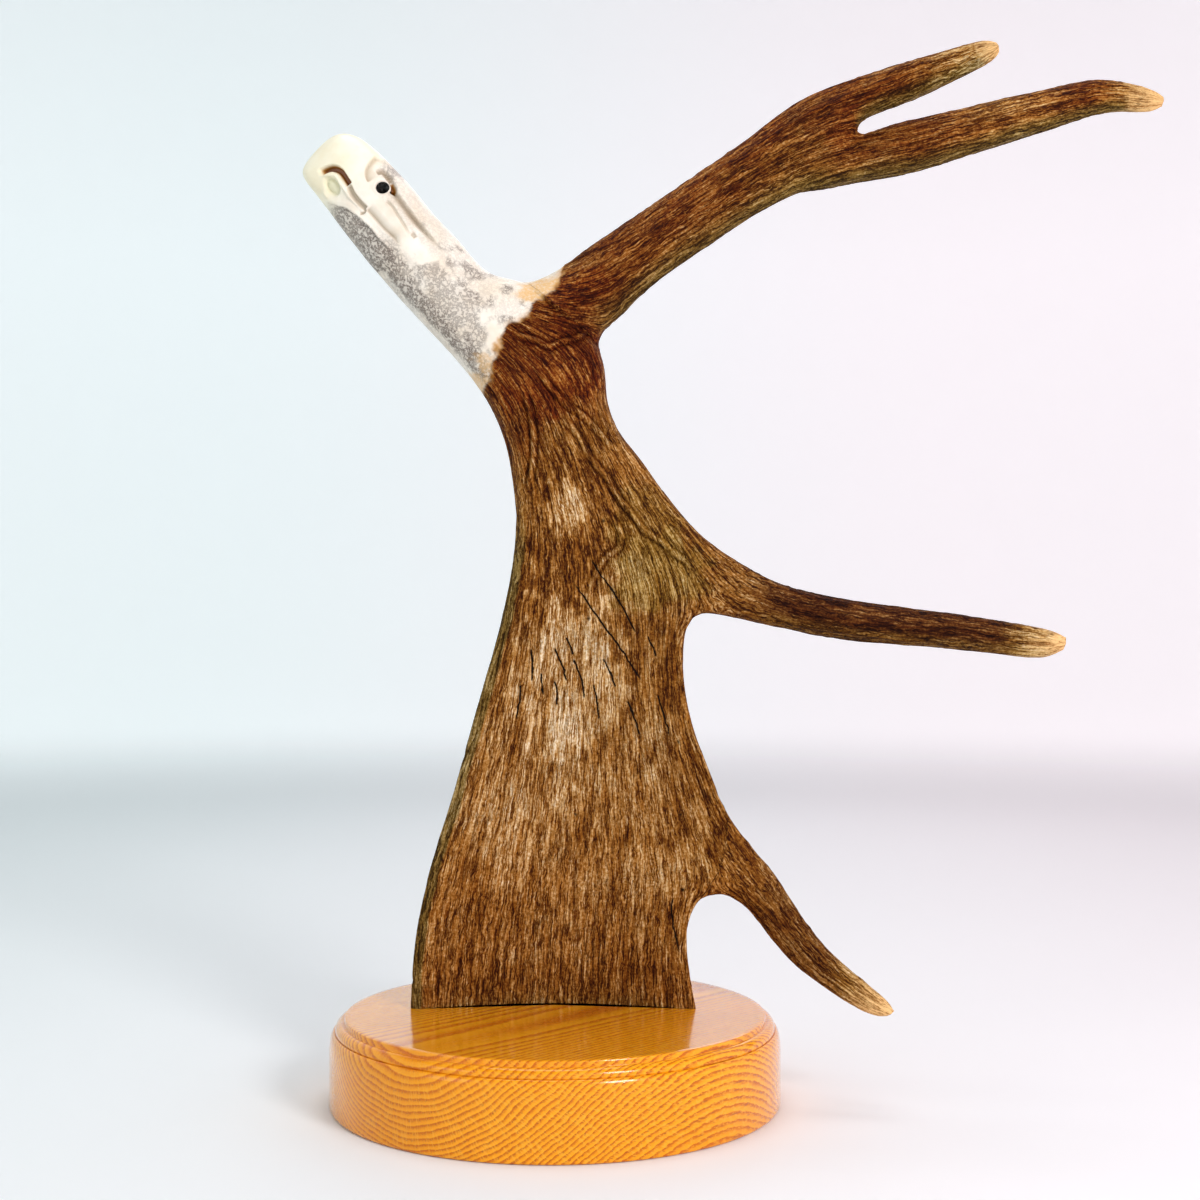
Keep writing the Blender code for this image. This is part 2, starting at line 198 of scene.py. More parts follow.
def ramp(tree, value, stops):
    """A colour ramp of (place, colour) stops."""
    made = node(tree, "ShaderNodeValToRGB", {"Fac": value})
    elements = made.color_ramp.elements
    while len(elements) < len(stops):
        elements.new(0.5)
    for element, (at, color) in zip(elements, stops):
        element.position = at
        element.color = (*color, 1)
    return made.outputs["Color"]


# %% Materials
def new_material(name, constants):
    """A material, its node tree and its shader, whose own sockets take the constants."""
    made = bpy.data.materials.new(name)
    made.use_nodes = True
    shader = made.node_tree.nodes["Principled BSDF"]
    for socket, value in constants.items():
        shader.inputs[socket].default_value = value
    return made, made.node_tree, shader


def feed(tree, shader, sockets):
    """Links each named socket of the shader to what varies it over the surface."""
    for name, value in sockets.items():
        tree.links.new(value, shader.inputs[name])


def bumped(tree, height, strength, distance):
    made = node(tree, "ShaderNodeBump", {"Strength": strength, "Distance": distance,
                                         "Height": height})
    return made.outputs["Normal"]


def put_on(material, *pieces):
    for piece in pieces:
        piece.data.materials.clear()
        piece.data.materials.append(material)
    print(f"{material.name} on:", ", ".join(piece.name for piece in pieces))


# %% [markdown]
# ## Studio
#
# A photographer would stand the piece on a seamless pale sweep. Here the sweep is a wide shallow
# dish: a flat floor whose rim rises in one soft curve all the way round, so no horizon shows from any
# side. It starts as a filled circle, and each ring is made by extruding the rim and scaling it. The
# wall glows a little by itself, as a sweep that is lit from behind does.

# %% A ring extruded from the selected rim
def extrude_to(radius, height, last):
    """Extrudes the selection from the ring last = (radius, height), to a new radius and height."""
    bpy.ops.mesh.extrude_region_move(
        TRANSFORM_OT_translate={"value": (0, 0, height - last[1])})
    grown = radius / last[0]
    bpy.ops.transform.resize(value=(grown, grown, 1), center_override=(0, 0, height))
    return radius, height


# %% Finish of the sweep
GLOW = 0.31                    # of the wall, by itself
GLOW_TOP = 0.10                # height where the glow is full
# The sweep's colour holds painted light: a cool tint on the left, a warm one on the right.
PAINTED_LIGHT_REACH = 0.8               # metres to each side where the tint is full
PAINTED_COOL_LIGHT, PAINTED_WARM_LIGHT = (0.80, 0.870, 0.875), (0.915, 0.860, 0.885)


def sweep_material():
    """Matt and pale, with painted cool light on the left and painted warm light on the right. Its wall
    glows, as if lit from behind.
    """
    made, tree, shader = new_material("pale_sweep", {
        "Emission Strength": GLOW, "Roughness": 0.75, "Specular IOR Level": 0.1})
    x, _, z = axes(tree, object_place(tree))
    color = blend(tree, spread(tree, x, -PAINTED_LIGHT_REACH, PAINTED_LIGHT_REACH), PAINTED_COOL_LIGHT, PAINTED_WARM_LIGHT)
    glow = blend(tree, spread(tree, z, 0.0, GLOW_TOP), (0, 0, 0), color)
    feed(tree, shader, {"Base Color": color, "Emission Color": glow})
    return made


# %% Floor
FLOOR_RADIUS = 1.7
FLOOR_POINTS = 96
SWEEP_RADIUS = 1.0
SWEEP_STEPS = 14
WALL_HEIGHT = 2.6
clear_selection()
bpy.ops.mesh.primitive_circle_add(vertices=FLOOR_POINTS, radius=FLOOR_RADIUS, fill_type="NGON")
floor = bpy.context.object
floor.name = "floor"
bpy.ops.object.mode_set(mode="EDIT")
bpy.ops.mesh.select_mode(type="EDGE")
bpy.ops.mesh.select_all(action="SELECT")
bpy.ops.mesh.region_to_loop()
ring = (FLOOR_RADIUS, 0.0)
for step in range(1, SWEEP_STEPS + 1):
    turn = math.pi / 2 * step / SWEEP_STEPS
    ring = extrude_to(FLOOR_RADIUS + SWEEP_RADIUS * math.sin(turn),
                      SWEEP_RADIUS * (1 - math.cos(turn)), ring)
extrude_to(ring[0], WALL_HEIGHT, ring)
bpy.ops.object.mode_set(mode="OBJECT")
bpy.ops.object.shade_smooth_by_angle(angle=math.radians(40))
put_on(sweep_material(), floor)
print("floor:", len(floor.data.polygons), "faces")


# %% [markdown]
# ## Light
#
# The light is bright and soft: a key light on the viewer's right, a much weaker and cooler one from
# the left, a wide one overhead for the top of the base, one from behind, and a pale world that fills
# the shadows.

# %% Lights
MIDDLE = (0.03, 0.0, 0.30)      # what every light is aimed at
BRIGHTNESS = 0.42              # of every light together
LIGHTS = {                     # place, size, watts and colour
    "key_light": ((0.85, -1.25, 0.90), 0.45, 35, (1.0, 0.96, 0.96)),
    "fill_light": ((-1.25, -0.95, 0.75), 0.7, 5, (0.95, 0.99, 1.0)),
    "top_light": ((0.0, 0.15, 1.8), 1.1, 25, (1.0, 0.99, 0.99)),
    "back_light": ((0.3, 1.5, 1.2), 1.0, 8, (1.0, 0.97, 1.0)),
}


def soft_light(name, place, size, power, color):
    clear_selection()
    bpy.ops.object.light_add(type="AREA", location=place)
    lamp = bpy.context.object
    lamp.name = name
    lamp.data.shape = "DISK"
    lamp.data.size = size
    lamp.data.energy = power * BRIGHTNESS
    lamp.data.color = color
    lamp.rotation_euler = (Vector(MIDDLE) - Vector(place)).to_track_quat("-Z", "Y").to_euler()
    lamp.visible_camera = False


for name, settings in LIGHTS.items():
    soft_light(name, *settings)

world = bpy.data.worlds.new("studio")
bpy.context.scene.world = world
world.use_nodes = True
background = world.node_tree.nodes["Background"]
background.inputs["Color"].default_value = (0.95, 0.97, 1.0, 1)
background.inputs["Strength"].default_value = 0.50 * BRIGHTNESS
bpy.context.scene.view_settings.view_transform = "Standard"
print("lights:", ", ".join(LIGHTS))


# %% [markdown]
# ## The antler's shape
#
# An antler is one growing thing: a round beam that widens into a flat palm and throws out points.
# It is drawn as rows of stations across its broad face, from the beak down to the cut end, and each
# point grows out of two rows of its parent's edge. The rows make a coarse cage of four-sided faces,
# and Subdivision Surface turns the cage into one smooth skin with no seam at the forks. A skin like
# this can't be extruded from a primitive without losing the outline, so it is laid from listed points.
#
# A trunk row is: left edge, right edge, depth of the edges, how far the middle is hollowed back,
# thickness, and flatness (0 round, 1 a plate). The numbers are millimetres.

# %% Stations of the trunk
BASE_TOP = 50.0
CUT_GAP = 0.3
CUT_REST = 0.05                # the gap that is left under the finished skin
BEAK_EDGE = [(-136.5, 514.5), (-141.8, 520.5), (-145.8, 525.5), (-145.4, 531.0),
             (-142.0, 535.5), (-138.2, 540.5), (-132.5, 545.8)]
BEAK_DEPTH = 3.5
TRUNK = [
    ((-129.5, 504.0), (-124.5, 550.5), 3.5, 0, 26, 0.0),
    ((-121.5, 494.0), (-111.5, 547.0), 3.5, 0, 34, 0.0),
    ((-114.0, 484.5), (-96.5, 534.0), 3.5, 0, 38, 0.0),
    ((-106.0, 474.5), (-82.0, 518.5), 4, 0, 40, 0.0),
    ((-96.5, 463.5), (-68.5, 502.0), 5, 0, 41, 0.0),
    ((-85.0, 450.5), (-54.5, 487.5), 6, 0, 41, 0.0),
    ((-69.0, 433.5), (-39.0, 470.5), 7, 0, 42, 0.0),
    ((-54.5, 417.5), (-20.5, 467.0), 8, 0, 43, 0.0),
    ((-43.0, 402.5), None, 8, 0, 43, 0.1),
    ((-35.0, 388.0), (27.5, 426.0), 8, 0, 41, 0.2),
    ((-28.5, 370.5), (29.0, 398.0), 8, 0, 37, 0.3),
    ((-25.0, 350.5), (40.0, 374.5), 7, 1, 33, 0.4),
    ((-23.0, 328.0), (59.0, 350.0), 6, 4, 27, 0.5),
    ((-25.5, 300.0), None, 5, 8, 22, 0.7),
    ((-33.0, 265.0), (73.5, 260.5), 4, 12, 18, 0.8),
    ((-47.5, 213.5), (77.5, 214.0), 4, 16, 14, 1.0),
    ((-60.0, 168.0), (96.5, 167.0), 4, 18, 12, 1.0),
    ((-71.0, 134.0), None, 4, 19, 12, 1.0),
    ((-78.0, 103.5), (80.5, 110.0), 5, 19.5, 11, 1.0),
    ((-81.5, 78.0), (75.5, 83.0), 5, 19.5, 11, 1.0),
    ((-83.0, BASE_TOP + CUT_GAP), (80.0, BASE_TOP + CUT_GAP), 5, 19.5, 11, 1.0),
]
print("trunk rows:", len(TRUNK))

# %% Stations of the brow stem and the points
# A root is: place, depth, thickness. A row is: upper edge, lower edge, depth, thickness.
STEM_ROOT = ((2.0, 450.0), 8, 36)
STEM = [
    ((3.0, 476.5), (36.0, 441.5), 6, 30),
    ((31.5, 493.5), (49.0, 457.0), 2, 26),
    ((60.5, 512.0), (78.0, 477.5), -3, 24),
    ((89.5, 531.0), (105.0, 494.0), -8, 23),
    ((113.0, 547.5), (136.0, 507.5), -13, 22),
    ((135.0, 562.5), None, -17, 21),
    ((156.5, 571.0), (168.5, 546.5), -20, 19),
]
UPPER_POINT = [
    ((176.0, 576.5), (186.5, 555.0), -24, 17),
    ((197.0, 581.5), (207.5, 563.5), -30, 15.5),
    ((218.0, 585.5), (225.5, 571.0), -37, 12.5),
    ((234.5, 588.5), (240.0, 577.5), -43, 9),
    ((241.5, 586.5), (243.0, 581.5), -46, 5),
]
LOWER_ROOT = ((160.0, 528.5), -17, 22)
LOWER_POINT = [
    ((184.5, 549.0), (163.0, 514.5), -18, 23),
    ((212.5, 554.5), (193.5, 520.0), -20, 23),
    ((242.5, 561.0), (225.0, 528.5), -23, 22),
    ((272.5, 566.5), (259.0, 539.0), -26, 20),
    ((297.0, 571.0), (288.0, 547.5), -29, 17),
    ((315.5, 568.5), (308.5, 552.8), -32, 13),
    ((330.5, 564.0), (326.5, 551.5), -34, 9),
    ((336.0, 560.0), (335.0, 554.5), -35, 5),
]
MIDDLE_ROOT = ((74.0, 306.0), 5, 20)
MIDDLE_TINE = [
    ((86.5, 318.0), (89.5, 273.5), 1, 21),
    ((112.5, 299.5), (109.5, 271.0), -3, 21),
    ((137.5, 289.0), (135.0, 265.0), -8, 21),
    ((171.0, 282.0), (168.0, 259.5), -14, 20.5),
    ((209.0, 277.0), (206.0, 256.5), -20, 18.5),
    ((246.5, 271.0), (243.5, 253.0), -27, 16),
    ((272.5, 266.5), (268.5, 250.5), -32, 13),
    ((281.5, 262.0), (280.0, 255.0), -34, 6),
]
LOW_ROOT = ((95.0, 134.0), 4, 13)
LOW_TINE = [
    ((119.0, 136.0), (102.5, 111.5), 2, 14),
    ((135.5, 110.5), (118.5, 96.0), -2, 14),
    ((148.5, 92.0), (130.5, 81.0), -8, 14),
    ((162.0, 79.0), (145.5, 69.5), -15, 13),
    ((175.0, 68.5), (160.0, 60.5), -22, 11),
    ((184.5, 60.5), (175.0, 53.5), -27, 8),
    ((187.5, 56.0), (183.0, 53.0), -29, 4.5),
]
LIMBS = ["beam_head", "hub", "palm", "brow_stem", "upper_point", "lower_point",
         "middle_tine", "lower_tine"]
BEAM_ROWS = 8                  # rows of the trunk that belong to the beam and head
HUB_ROWS = 13                  # rows above the palm
TRUNK_COLUMNS = 6
PLATE_POWER = 0.35             # how squarely a flat row's thickness falls off at its edges
print("limbs:", ", ".join(LIMBS))


# %% [markdown]
# A station is a pair of points, one on the front skin and one on the back, or one shared point on
# the outline. The cage joins neighbouring stations with a front face and a back face.

# %% The cage
class Cage:
    def __init__(self):
        self.points = []
        self.cores = []        # depth of the limb's middle at each point
        self.faces = []
        self.limbs = []

    def rim(self, x, y, z):
        self.points.append((x, y, z))
        self.cores.append(y)
        return (len(self.points) - 1, len(self.points) - 1)

    def inner(self, x, y, z, thickness):
        self.points += [(x, y - thickness / 2, z), (x, y + thickness / 2, z)]
        self.cores += [y, y]
        return (len(self.points) - 2, len(self.points) - 1)

    def face(self, corners, limb):
        self.faces.append(corners)
        self.limbs.append(LIMBS.index(limb))

    def skin(self, upper, lower, limb):
        """Front and back faces between two rows of stations."""
        for i in range(len(upper) - 1):
            self.face([upper[i][0], lower[i][0], lower[i + 1][0], upper[i + 1][0]], limb)
            self.face([upper[i][1], upper[i + 1][1], lower[i + 1][1], lower[i][1]], limb)


def across(column, flatness):
    """Share of the width and of the thickness at a column of the trunk."""
    angle = math.pi * column / TRUNK_COLUMNS
    rounded = math.sin(angle)
    plate = rounded ** PLATE_POWER if 0 < column < TRUNK_COLUMNS else 0.0
    return (1 - math.cos(angle)) / 2, rounded + (plate - rounded) * flatness


def trunk_row(cage, row, root=None):
    left, right, depth, cup, thickness, flatness = row
    if root:
        right, _, root_thickness = root
    stations = []
    for column in range(TRUNK_COLUMNS + 1):
        width, share = across(column, flatness)
        x = left[0] + (right[0] - left[0]) * width
        z = left[1] + (right[1] - left[1]) * width
        y = depth + cup * 4 * width * (1 - width)
        thick = thickness * share
        if root and width > 0.5:
            towards = (width - 0.5) * 2
            full = thickness + (root_thickness - thickness) * towards
            thick = full * (share + (1 - share) * towards)
        if column == 0 or (column == TRUNK_COLUMNS and not root):
            stations.append(cage.rim(x, y, z))
        else:
            stations.append(cage.inner(x, y, z, thick))
    return stations


def limb_row(cage, row, root=None):
    upper, lower, depth, thickness = row
    end = root[0] if root else lower
    middle = cage.inner((upper[0] + end[0]) / 2, depth, (upper[1] + end[1]) / 2, thickness)
    if root:
        (x, z), root_depth, root_thickness = root
        last = cage.inner(x, root_depth, z, root_thickness)
    else:
        last = cage.rim(lower[0], depth, lower[1])
    return [cage.rim(upper[0], depth, upper[1]), middle, last]


def grow(cage, root, rows, limb, root_limb, branch_root=None):
    """Rows of one limb from its root. The first interval belongs to the parent limb."""
    made = []
    previous = root
    for number, row in enumerate(rows):
        current = limb_row(cage, row, branch_root if row[1] is None else None)
        cage.skin(previous, current, root_limb if number == 0 else limb)
        made.append(current)
        previous = current
    return made


def antler_cage():
    cage = Cage()
    roots = iter((STEM_ROOT, MIDDLE_ROOT, LOW_ROOT))
    rows = [[cage.rim(x, BEAK_DEPTH, z) for x, z in BEAK_EDGE]]
    for row in TRUNK:
        rows.append(trunk_row(cage, row, next(roots) if row[1] is None else None))
    for number in range(len(rows) - 1):
        limb = "beam_head" if number < BEAM_ROWS else "hub" if number < HUB_ROWS else "palm"
        cage.skin(rows[number], rows[number + 1], limb)
    right = [row[-1] for row in rows]
    bare = [number + 1 for number, row in enumerate(TRUNK) if row[1] is None]
    stem_root, middle_root, low_root = [right[n - 1:n + 2] for n in bare]
    stem = grow(cage, stem_root, STEM, "brow_stem", "hub", LOWER_ROOT)
    fork = [row[-1] for row in stem[:-4:-1]]
    tips = [(grow(cage, stem[-1], UPPER_POINT, "upper_point", "brow_stem"), "upper_point"),
            (grow(cage, fork, LOWER_POINT, "lower_point", "brow_stem"), "lower_point"),
            (grow(cage, middle_root, MIDDLE_TINE, "middle_tine", "palm"), "middle_tine"),
            (grow(cage, low_root, LOW_TINE, "lower_tine", "palm"), "lower_tine")]
    for limb_rows, limb in tips:
        upper, middle, lower = limb_rows[-1]
        cage.face([upper[0], middle[0], lower[0], middle[1]], limb)
    return cage


cage = antler_cage()
print("cage:", len(cage.points), "points,", len(cage.faces), "faces")


# %% [markdown]
# Catmull-Clark subdivision pulls a surface inside its cage. The surface's limit under each cage point
# is a weighted mean of that point, its neighbours and the far corners of its faces, so the cage is
# pushed outwards a few times until those means sit on the stations. Forks are pushed less, because
# they would kink, and are eased once the skin is fine enough. The two corners of the beak, and the
# points beside them, stay where they are.

# %% Fitting the cage, then the smooth skin
FIT_ROUNDS = 4
FORK_EASE = 0.3
FORK_SPREAD = 0.8              # how much of the easing reaches the next points
FORK_ROUNDS = 10
FIRST_LEVELS = 2
SKIN_LEVELS = 5


def limit_weights(count, faces):
    """The weights of each point's limit place, and how freely each point may be pushed."""
    far, uses = {}, {}
    for face in faces:
        for i in range(4):
            far.setdefault(face[i], []).append(face[(i + 2) % 4])
            side = frozenset((face[i], face[(i + 1) % 4]))
            uses[side] = uses.get(side, 0) + 1
    near, rim = {}, {}
    for side, number in uses.items():
        a, b = side
        for here, other in ((a, b), (b, a)):
            near.setdefault(here, []).append(other)
            if number == 1:
                rim.setdefault(here, []).append(other)
    weights = np.zeros((count, count))
    ease = np.ones((count, 1))
    for here in range(count):
        if here in rim:
            weights[here, here] = 4 / 6
            weights[here, rim[here]] = 1 / 6
            continue
        n = len(near[here])
        whole = n * (n + 5)
        weights[here, here] = n * n / whole
        weights[here, near[here]] += 4 / whole
        weights[here, far[here]] += 1 / whole
        if n != 4:
            ease[here] = 0 if n < 4 else FORK_EASE
    for others in near.values():
        if len(others) == 2:
            ease[others] = 0
    return weights, ease


def fitted(points, faces):
    target = np.array(points)
    weights, ease = limit_weights(len(target), faces)
    moved = target.copy()
    for _ in range(FIT_ROUNDS):
        moved += ease * (target - weights @ moved)
    return moved


def fork_shares(count, faces):
    """1 at the points of a fork, less beside them, and 0 elsewhere."""
    near = {}
    for face in faces:
        for i in range(4):
            near.setdefault(face[i], set()).update((face[i - 1], face[(i + 1) % 4]))
    shares = np.zeros(count)
    for here, others in near.items():
        if len(others) > 4:
            shares[here] = 1
            for other in others:
                shares[other] = max(shares[other], FORK_SPREAD)
    return shares


def subdivide(piece, name, levels):
    smooth = piece.modifiers.new(name, "SUBSURF")
    smooth.levels = smooth.render_levels = levels


def smooth_skin(cage):
    """The whole antler as one skin. material_index holds each face's limb."""
    mesh = bpy.data.meshes.new("antler_skin")
    mesh.from_pydata((fitted(cage.points, cage.faces) * MM).tolist(), [], cage.faces)
    for limb in LIMBS:
        mesh.materials.append(bpy.data.materials.new("limb_" + limb))
    mesh.polygons.foreach_set("material_index", cage.limbs)
    mesh.attributes.new("core", "FLOAT", "POINT").data.foreach_set("value", cage.cores)
    skin = bpy.data.objects.new("antler_skin", mesh)
    bpy.context.scene.collection.objects.link(skin)
    group = skin.vertex_groups.new(name="forks")
    for point, share in enumerate(fork_shares(len(cage.points), cage.faces)):
        group.add([point], float(share), "REPLACE")
    subdivide(skin, "Round", FIRST_LEVELS)
    ease = skin.modifiers.new("Ease", "SMOOTH")
    ease.factor = 0.5
    ease.iterations = FORK_ROUNDS
    ease.vertex_group = group.name
    subdivide(skin, "Refine", SKIN_LEVELS - FIRST_LEVELS)
    apply_modifiers(skin)
    return skin


skin = smooth_skin(cage)
print("smooth skin:", len(skin.data.polygons), "faces")


# %% [markdown]
# From here on the skin is handled as arrays, one row a point or a face, because a few sums over whole
# arrays are far quicker than a loop over half a million points.

# %% Reading a mesh as arrays
def read_array(things, name, width=1, kind=np.float32):
    """One property of every point, face or corner, in rows of width numbers."""
    found = np.empty(len(things) * width, kind)
    things.foreach_get(name, found)
    return found.reshape(-1, width) if width > 1 else found


def read_points(mesh):
    return read_array(mesh.vertices, "co", 3).astype(np.float64) / MM


def read_normals(mesh):
    return read_array(mesh.vertex_normals, "vector", 3).astype(np.float64)


# %% [markdown]
# The palm's front is looked at closely, and its back much less. The back is thinned a little, which
# keeps the whole palm in reach of other tools.

# %% Thinning the back of the palm
PALM_BACK_KEPT = 0.76
BACK_FACING = 0.6              # of a face's normal towards +Y
THINNED_X = (-200, 70)         # millimetres: left of the tines' roots
THINNED_Z = (BASE_TOP + CUT_GAP + 3.0, 315)    # clear of the palm's two seams


def thin_palm_back(skin):
    faces = skin.data.polygons
    x, _, z = (read_array(faces, "center", 3) / MM).T
    chosen = read_array(faces, "material_index", kind=np.int32) == LIMBS.index("palm")
    chosen &= read_array(faces, "normal", 3)[:, 1] > BACK_FACING
    for value, (low, high) in ((x, THINNED_X), (z, THINNED_Z)):
        chosen &= (value > low) & (value < high)
    only(skin)
    bpy.ops.object.mode_set(mode="EDIT")
    bpy.ops.mesh.select_mode(type="FACE")
    bpy.ops.mesh.select_all(action="DESELECT")
    bpy.ops.object.mode_set(mode="OBJECT")
    faces.foreach_set("select", chosen)
    bpy.ops.object.mode_set(mode="EDIT")
    bpy.ops.mesh.decimate(ratio=PALM_BACK_KEPT)
    bpy.ops.object.mode_set(mode="OBJECT")


thin_palm_back(skin)
print("thinned skin:", len(skin.data.polygons), "faces")

# %% The skin as arrays
points = read_points(skin.data)
normals = read_normals(skin.data)
core = read_array(skin.data.attributes["core"].data, "value")
off_core = points[:, 1] - core     # how far each point stands in front of or behind the limb's middle
flat_place = points[:, [0, 2]]
print("skin points:", len(points))


# %% [markdown]
# ## Surface detail as maths
#
# The grooves, cracks and cuts are real relief, so they are made by moving the skin's points. Three
# tools do it: a smooth random field, the distance to a line drawn on the broad face, and a soft step.

# %% Random field, soft step and distance to a line
HASH_STEPS = (374761393, 668265263, 1103515245)      # odd numbers that scatter the cells' values
HASH_SEED, HASH_MIX = 1013904223, 1274126177
LOW_BITS = 0xFFFFFFFF


def soft_step(low, high, value):
    part = np.clip((value - low) / (high - low), 0, 1)
    return part * part * (3 - 2 * part)


def field(place, seed=0):
    """A smooth random field between -1 and 1, with features about one unit across."""
    cell = np.floor(place).astype(np.int64)
    part = place - cell
    ease = part * part * part * (part * (part * 6 - 15) + 10)
    total = np.zeros(len(place))
    for corner in np.ndindex(2, 2, 2):
        share = np.ones(len(place))
        mixed = np.full(len(place), seed * HASH_SEED, np.int64)
        for axis, (step, factor) in enumerate(zip(corner, HASH_STEPS)):
            share *= ease[:, axis] if step else 1 - ease[:, axis]
            mixed += (cell[:, axis] + step) * factor
        mixed &= LOW_BITS
        mixed = ((mixed ^ (mixed >> 13)) * HASH_MIX) & LOW_BITS
        total += share * ((mixed ^ (mixed >> 16)) / (LOW_BITS // 2) - 1)
    return total


def rough_field(place, octaves, seed=0):
    """Several fields, each twice as fine and half as strong."""
    total = np.zeros(len(place))
    for octave in range(octaves):
        total += field(place * 2 ** octave, seed + octave) / 2 ** octave
    return total / 1.5


def along(line, place):
    """Distance to a line of points, share of the way along it, and side (+ is left of travel)."""
    line = np.array(line, float)
    spans = np.diff(line, axis=0)
    lengths = np.linalg.norm(spans, axis=1)
    starts = np.concatenate([[0], np.cumsum(lengths)])
    best = np.full(len(place), np.inf)
    share = np.zeros(len(place))
    side = np.zeros(len(place))
    for number, (start, span, length) in enumerate(zip(line, spans, lengths)):
        off = place - start
        part = np.clip(off @ span / length ** 2, 0, 1)
        gap = off - part[:, None] * span
        distance = np.hypot(gap[:, 0], gap[:, 1])
        nearer = distance < best
        best = np.where(nearer, distance, best)
        share = np.where(nearer, (starts[number] + part * length) / starts[-1], share)
        side = np.where(nearer, np.sign(span[0] * off[:, 1] - span[1] * off[:, 0]), side)
    return best, share, side


def curve_through(line, steps=8):
    """A Catmull-Rom curve through the points of a line."""
    ends = [tuple(2 * np.array(line[0]) - line[1])] + list(line) + [
        tuple(2 * np.array(line[-1]) - line[-2])]
    ends = np.array(ends, float)
    made = []
    for a, b, c, d in zip(ends, ends[1:], ends[2:], ends[3:]):
        for step in range(steps):
            t = step / steps
            made.append(0.5 * (2 * b + (c - a) * t + (2 * a - 5 * b + 4 * c - d) * t * t
                               + (3 * b - a - 3 * c + d) * t ** 3))
    made.append(ends[-2])
    return np.array(made)


# %% [markdown]
# ## The way the grain flows
#
# An antler's grooves run like water: down the beam, fanning over the palm, out along every point and
# round the crotches between them. That is what the stream lines of a flow look like, so the script
# works one out. Each bank of the outline gets a fixed value, in proportion to how much of the grain
# passes on its left, and the inside is relaxed until every cell is the mean of its neighbours.

# %% Banks of the outline
def upper_edge(rows):
    return [row[0] for row in rows]


def lower_edge(rows):
    return [row[1] for row in rows if row[1]]


def trunk_right(first, last):
    return [row[1] for row in TRUNK[first:last] if row[1]]


UPPER_TIP, LOWER_TIP = (243.5, 584.5), (338.0, 557.0)
MIDDLE_TIP, LOW_TIP = (284.5, 258.0), (188.5, 53.0)
BANKS = [
    (0, [row[0] for row in TRUNK]),
    (52, trunk_right(18, 21)[::-1] + lower_edge(LOW_TINE) + [LOW_TIP]),
    (60, [LOW_TIP] + upper_edge(LOW_TINE)[::-1] + trunk_right(14, 17)[::-1]
     + lower_edge(MIDDLE_TINE) + [MIDDLE_TIP]),
    (68, [MIDDLE_TIP] + upper_edge(MIDDLE_TINE)[::-1] + trunk_right(9, 13)[::-1]
     + lower_edge(STEM)[:5] + lower_edge(LOWER_POINT) + [LOWER_TIP]),
    (86, [LOWER_TIP] + upper_edge(LOWER_POINT)[::-1] + [STEM[-1][1]] + lower_edge(UPPER_POINT)
     + [UPPER_TIP]),
    (100, [UPPER_TIP] + upper_edge(UPPER_POINT)[::-1] + upper_edge(STEM)[::-1]
     + trunk_right(0, 8)[::-1]),
]
print("banks:", len(BANKS))

# %% The flow over a grid
CELL = 2.0                     # millimetres
GRID_X = np.arange(-156, 348, CELL)
GRID_Z = np.arange(40, 600, CELL)
RELAX_ROUNDS = 320
RELAX_PUSH = 1.88


def inside_outline(place):
    outline = [end for _, bank in BANKS for end in bank] + BEAK_EDGE[::-1]
    inside = np.zeros(len(place), bool)
    for (x1, z1), (x2, z2) in zip(outline, outline[1:] + outline[:1]):
        if z1 == z2:
            continue
        crosses = (z1 > place[:, 1]) != (z2 > place[:, 1])
        inside ^= crosses & (place[:, 0] < x1 + (place[:, 1] - z1) * (x2 - x1) / (z2 - z1))
    return inside


def solve_flow():
    """The flow's value at each cell of the grid."""
    gx, gz = np.meshgrid(GRID_X, GRID_Z)
    place = np.column_stack([gx.ravel(), gz.ravel()])
    nearest = np.full(len(place), np.inf)
    value = np.zeros(len(place))
    for amount, bank in BANKS:
        distance, _, _ = along(bank, place)
        value = np.where(distance < nearest, amount, value)
        nearest = np.minimum(distance, nearest)
    distance, share, _ = along(BEAK_EDGE, place)
    value = np.where(distance < nearest, share * 100, value)
    free = inside_outline(place)
    left, right = TRUNK[-1][0][0], TRUNK[-1][1][0]
    below = place[:, 1] < BASE_TOP + CUT_GAP
    slope = np.clip((place[:, 0] - left) / (right - left), 0, 1)
    value = np.where(below, slope * BANKS[1][0], value)
    free = (free & ~below).reshape(gx.shape)
    flow = value.reshape(gx.shape)
    flow[free] = 50.0
    odd = (np.add.outer(np.arange(len(GRID_Z)), np.arange(len(GRID_X))) % 2).astype(bool)
    for _ in range(RELAX_ROUNDS):
        for colour in (odd, ~odd):
            mean = np.zeros_like(flow)
            mean[1:-1, 1:-1] = (flow[:-2, 1:-1] + flow[2:, 1:-1]
                                + flow[1:-1, :-2] + flow[1:-1, 2:]) / 4
            change = free & colour
            flow[change] += RELAX_PUSH * (mean[change] - flow[change])
    return flow


def read_grid(grid, place):
    """The grid's value at each place, blended between its cells."""
    u = np.clip((place[:, 0] - GRID_X[0]) / CELL, 0, len(GRID_X) - 1.001)
    v = np.clip((place[:, 1] - GRID_Z[0]) / CELL, 0, len(GRID_Z) - 1.001)
    i, j = u.astype(int), v.astype(int)
    s, t = u - i, v - j
    return ((grid[j, i] * (1 - s) + grid[j, i + 1] * s) * (1 - t)
            + (grid[j + 1, i] * (1 - s) + grid[j + 1, i + 1] * s) * t)


flow_grid = solve_flow()
slope_z, slope_x = np.gradient(flow_grid, CELL)
flow = read_grid(flow_grid, flat_place)
crowding = np.clip(read_grid(np.hypot(slope_x, slope_z), flat_place), 0.12, 2.5)
print("flow runs from", round(float(flow.min()), 1), "to", round(float(flow.max()), 1))
